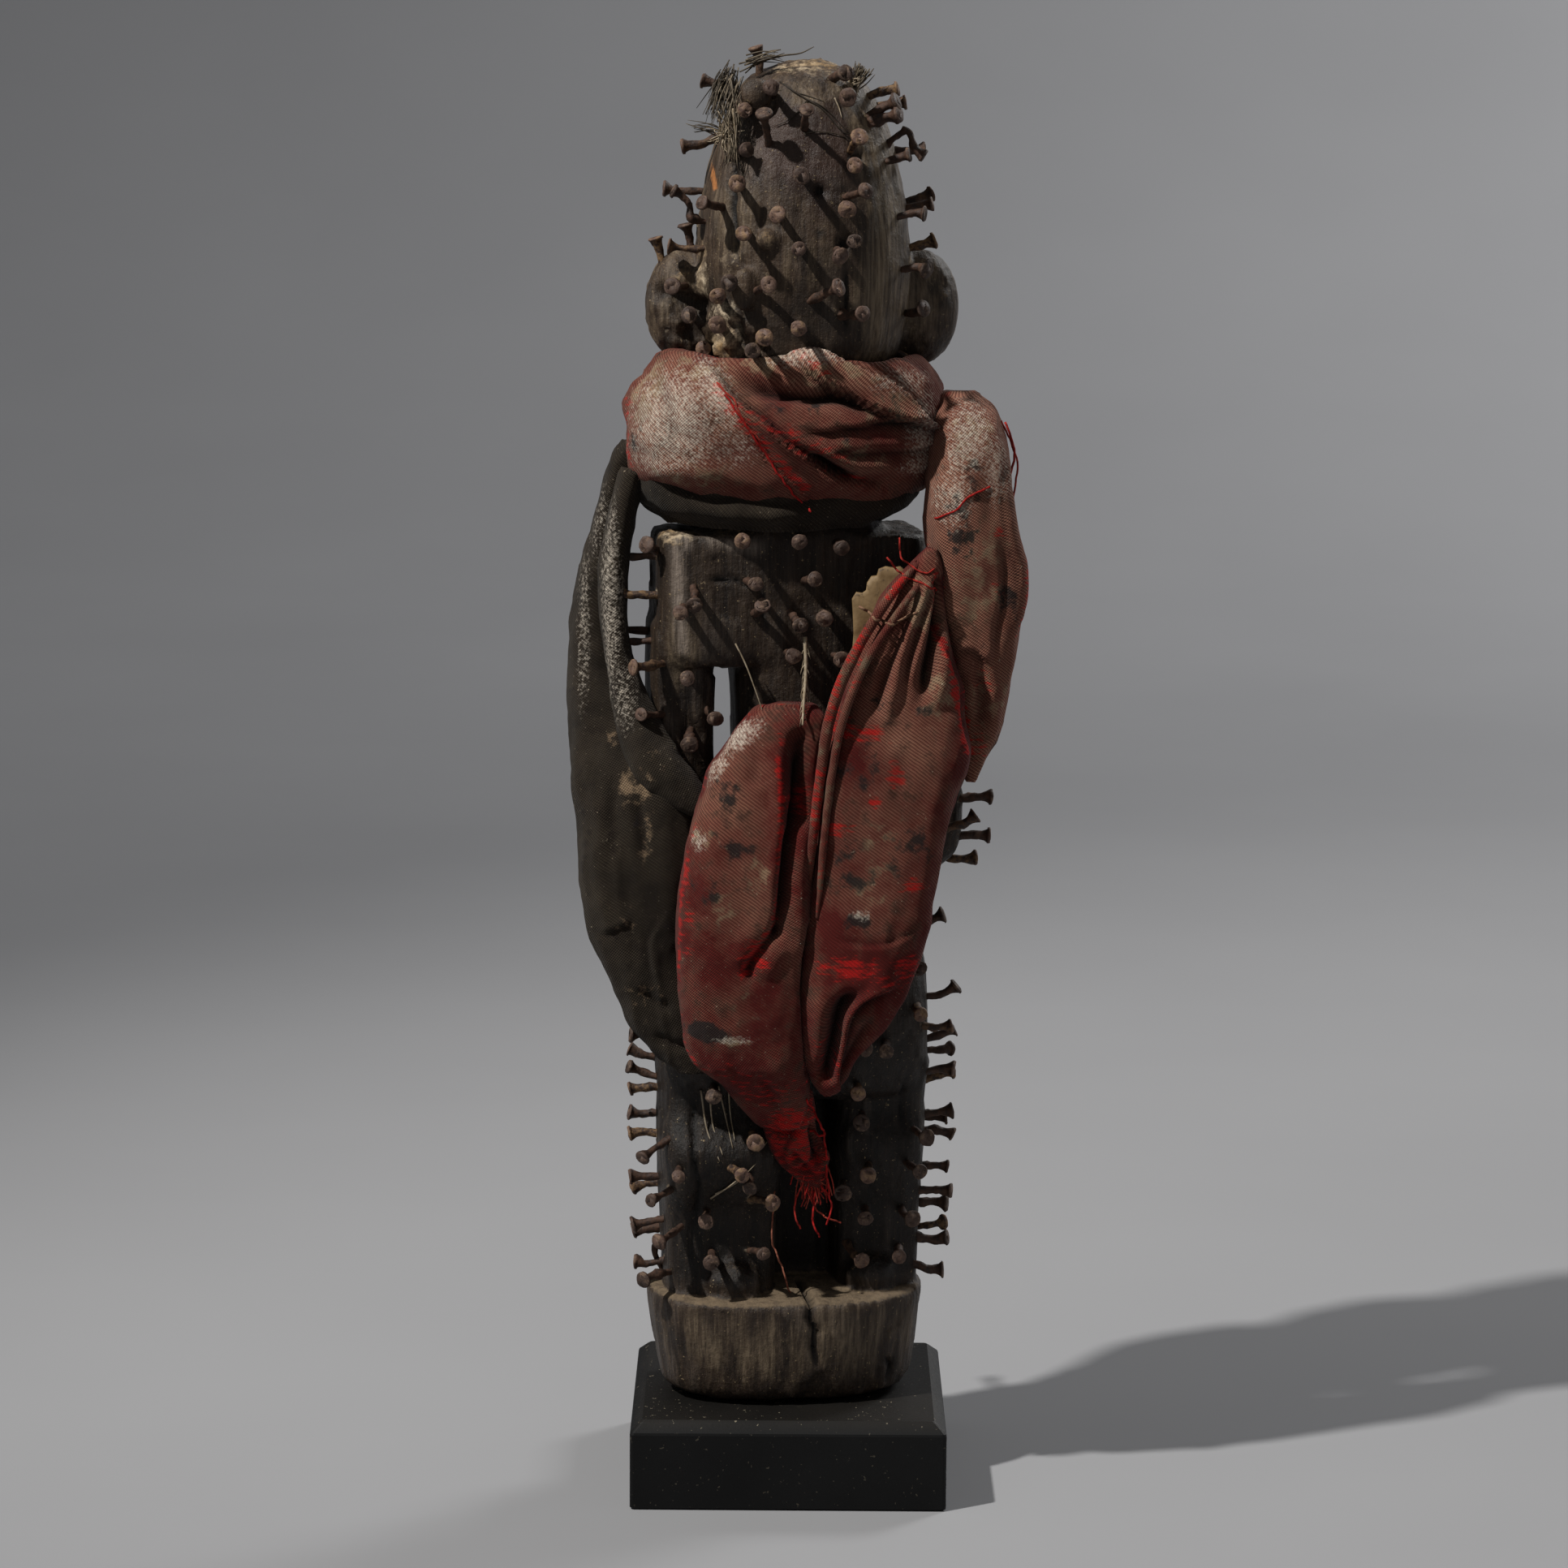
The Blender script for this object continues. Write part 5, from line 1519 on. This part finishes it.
def build_stage():
    rows = [(-1.6, 0.0), (-0.6, 0.0), (0.9, 0.0), (1.5, 0.06), (1.9, 0.3), (2.1, 0.8), (2.2, 2.4)]
    line = curve_through([[0, y, z] for y, z in rows], 40)
    vertices = [(x, y, max(z, 0.0)) for _, y, z in line for x in (-2.6, 2.6)]
    faces = [(2 * k, 2 * k + 1, 2 * k + 3, 2 * k + 2) for k in range(len(line) - 1)]
    mesh = bpy.data.meshes.new("floor")
    mesh.from_pydata(vertices, [], faces)
    mesh.polygons.foreach_set("use_smooth", np.ones(len(faces), bool))
    mesh.materials.append(floor_material())
    floor = bpy.data.objects.new("floor", mesh)
    bpy.context.collection.objects.link(floor)


def place_light(name, data, place, target, colour):
    data.color = colour
    light = bpy.data.objects.new(name, data)
    light.location = place
    light.rotation_euler = (Vector(target) - Vector(place)).to_track_quat("-Z", "Y").to_euler()
    bpy.context.collection.objects.link(light)


def build_light():
    """A key from the upper left behind the camera, a wash on the backdrop and a weak even fill."""
    world = bpy.data.worlds.new("studio")
    bpy.context.scene.world = world
    world.use_nodes = True
    world.node_tree.nodes["Background"].inputs["Color"].default_value = (0.97, 0.98, 1.0, 1)
    world.node_tree.nodes["Background"].inputs["Strength"].default_value = 0.17
    key = bpy.data.lights.new("key", "SPOT")
    key.energy = 175
    key.shadow_soft_size = 0.035
    key.spot_size = math.radians(34)
    key.spot_blend = 1.0
    place_light("key", key, (-1.05, -0.68, 1.70), (0.0, 0.0, 0.24), (1.0, 0.985, 0.95))
    wash = bpy.data.lights.new("wash", "AREA")
    wash.energy = 34
    wash.size = 0.7
    place_light("wash", wash, (1.5, 1.5, 1.5), (0.7, 1.5, 0.1), (1.0, 1.0, 0.99))
    bpy.context.scene.view_settings.view_transform = "Standard"


def build_camera():
    place = Vector((-1.86, -1037.0, 336.2)) * MM
    pitch = math.radians(9.96)
    roll = 0.0067
    forward = Vector((0, math.cos(pitch), -math.sin(pitch)))
    level = Vector((1, 0, 0))
    rise = level.cross(forward)
    right = level * math.cos(roll) + rise * math.sin(roll)
    up = right.cross(forward)
    data = bpy.data.cameras.new("camera")
    data.lens = 111.1
    data.sensor_width = 36.0
    data.clip_start = 0.05
    camera = bpy.data.objects.new("camera", data)
    camera.matrix_world = Matrix.Translation(place) @ Matrix(
        ((right.x, up.x, -forward.x), (right.y, up.y, -forward.y), (right.z, up.z, -forward.z))).to_4x4()
    bpy.context.collection.objects.link(camera)
    bpy.context.scene.camera = camera


build_stage()
build_light()
build_camera()
